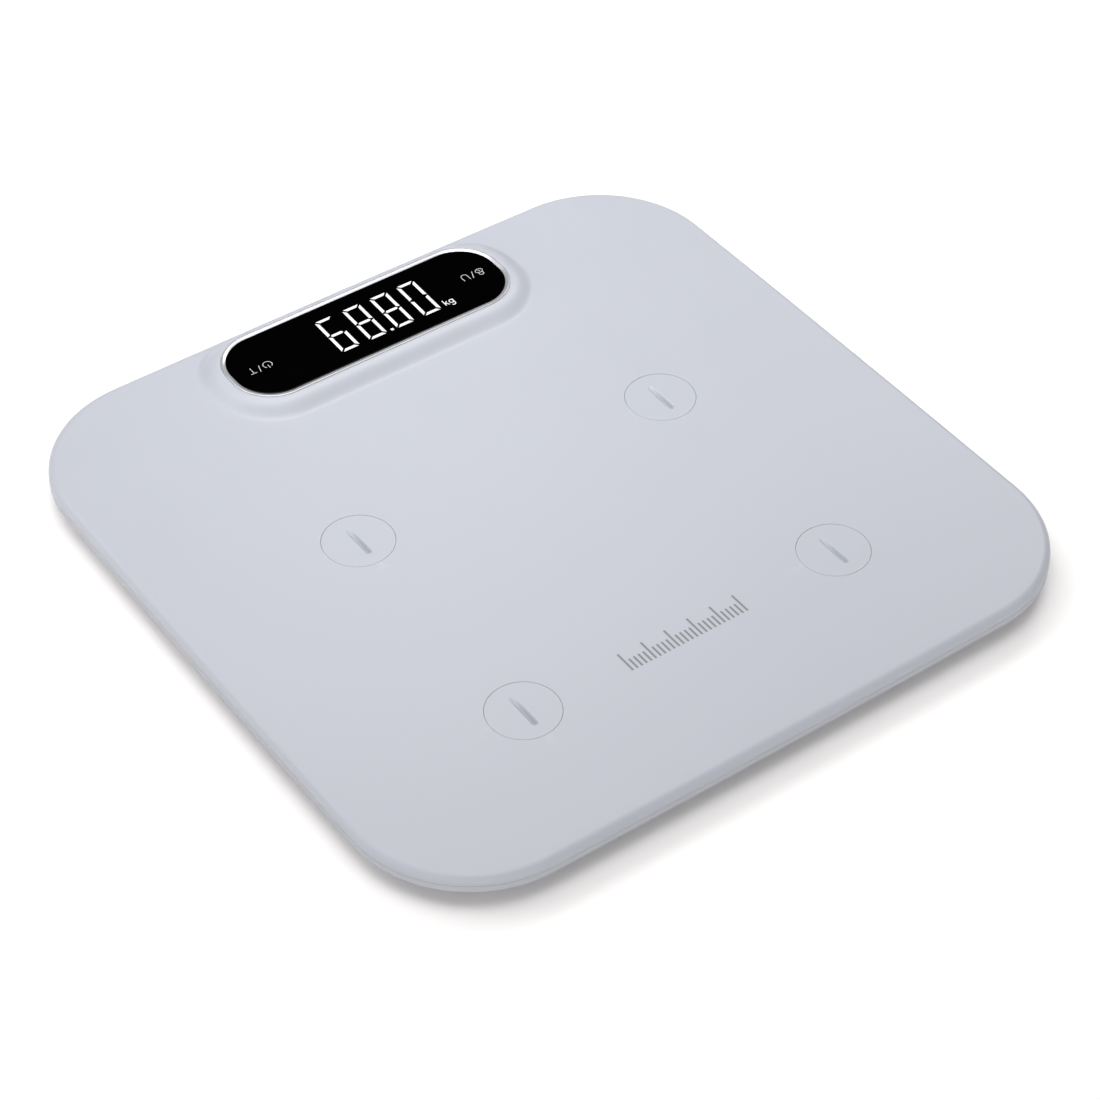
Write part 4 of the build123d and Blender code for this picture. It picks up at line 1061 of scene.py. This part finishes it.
CAMERA_TURN = -35.53
CAMERA_RISE = 43.66
CAMERA_DISTANCE = 1.1184
CAMERA_TARGET = (-0.0152, -0.0263, 0.0150)


def sky_lobe(tree, direction, gathering, amount):
    """amount × (cosine of the angle from the direction)^gathering, as a socket of the world."""
    place = tree.nodes.new("ShaderNodeTexCoord")
    toward = tree.nodes.new("ShaderNodeVectorMath")
    toward.operation = "DOT_PRODUCT"
    tree.links.new(place.outputs["Generated"], toward.inputs[0])
    toward.inputs[1].default_value = Vector(direction).normalized()
    cosine = math_node(tree, "MAXIMUM", toward.outputs["Value"], 0.0)
    return math_node(tree, "MULTIPLY", math_node(tree, "POWER", cosine, gathering), amount)


def studio_sky():
    """The world: the sum of the soft lobes, less the flag's share of it."""
    world = bpy.data.worlds.new("studio")
    world.use_nodes = True
    tree = world.node_tree
    level = 0.0
    for lobe in SKY_LOBES:
        level = math_node(tree, "ADD", sky_lobe(tree, *lobe), level)
    level = math_node(tree, "MULTIPLY", level, math_node(tree, "SUBTRACT", 1.0, sky_lobe(tree, *SKY_FLAG)))
    background = tree.nodes["Background"]
    background.inputs["Color"].default_value = (1, 1, 1, 1)
    tree.links.new(level, background.inputs["Strength"])
    return world


class SCALE_OT_stage(bpy.types.Operator):
    """Set a plain pale floor, soft studio light and the camera"""

    bl_idname = "bathroom_scale.stage"
    bl_label = "Stage"

    def execute(self, context):
        scene = context.scene
        scene.view_settings.view_transform = "Standard"
        scene.world = studio_sky()

        across = np.linspace(-FLOOR_HALF, FLOOR_HALF, 13)
        x, y = np.meshgrid(across, across)
        points, faces = net(np.dstack([x, y, np.zeros_like(x)]), closed=False)
        mesh = bpy.data.meshes.new("floor")
        mesh.from_pydata(points.tolist(), [], faces.tolist())
        mesh.materials.append(finish("floor"))
        floor = bpy.data.objects.new("floor", mesh)
        scene.collection.objects.link(floor)

        for name, place, size, power in STUDIO_LIGHTS:
            data = bpy.data.lights.new(name, "AREA")
            data.shape = "DISK"
            data.size = size
            data.energy = power
            light = bpy.data.objects.new(name, data)
            light.location = place
            light.rotation_euler = (-Vector(place)).to_track_quat("-Z", "Y").to_euler()
            scene.collection.objects.link(light)

        turn, rise = math.radians(CAMERA_TURN), math.radians(CAMERA_RISE)
        away = Vector((math.sin(turn) * math.cos(rise), -math.cos(turn) * math.cos(rise), math.sin(rise)))
        data = bpy.data.cameras.new("camera")
        data.sensor_width = SENSOR_WIDTH
        data.lens = CAMERA_LENS
        data.clip_end = 100.0
        camera = bpy.data.objects.new("camera", data)
        camera.location = Vector(CAMERA_TARGET) + away * CAMERA_DISTANCE
        camera.rotation_euler = (-away).to_track_quat("-Z", "Y").to_euler()
        scene.collection.objects.link(camera)
        scene.camera = camera
        return {"FINISHED"}


class SCALE_PT_panel(bpy.types.Panel):
    """The sizes, the colours and the steps that build the scale"""

    bl_idname = "SCALE_PT_panel"
    bl_label = "Bathroom Scale"
    bl_space_type = "VIEW_3D"
    bl_region_type = "UI"
    bl_category = "Bathroom Scale"

    def draw(self, context):
        for step in STEPS:
            self.layout.operator(step.bl_idname)
        for group in (sizes(), colours()):
            box = self.layout.box()
            for key in group.bl_rna.properties.keys():
                if key not in ("rna_type", "name"):
                    box.prop(group, key)


STEPS = (
    SCALE_OT_platform,
    SCALE_OT_caps,
    SCALE_OT_display,
    SCALE_OT_readout,
    SCALE_OT_marks,
    SCALE_OT_foot_pads,
    SCALE_OT_door_grip,
    SCALE_OT_finishes,
    SCALE_OT_stage,
)
CLASSES = (ScaleSizes, ScaleColours, *STEPS, SCALE_PT_panel)


def register():
    """Adds the classes and the settings."""
    for kind in CLASSES:
        bpy.utils.register_class(kind)
    bpy.types.Scene.bathroom_scale_sizes = PointerProperty(type=ScaleSizes)
    bpy.types.Scene.bathroom_scale_colours = PointerProperty(type=ScaleColours)


def unregister():
    """Takes them away again."""
    del bpy.types.Scene.bathroom_scale_colours
    del bpy.types.Scene.bathroom_scale_sizes
    for kind in reversed(CLASSES):
        bpy.utils.unregister_class(kind)


def main():
    """Builds every piece and the stage."""
    register()
    for step in STEPS:
        name = step.bl_idname.split(".")[1]
        getattr(bpy.ops.bathroom_scale, name)()


if __name__ == "__main__":
    main()
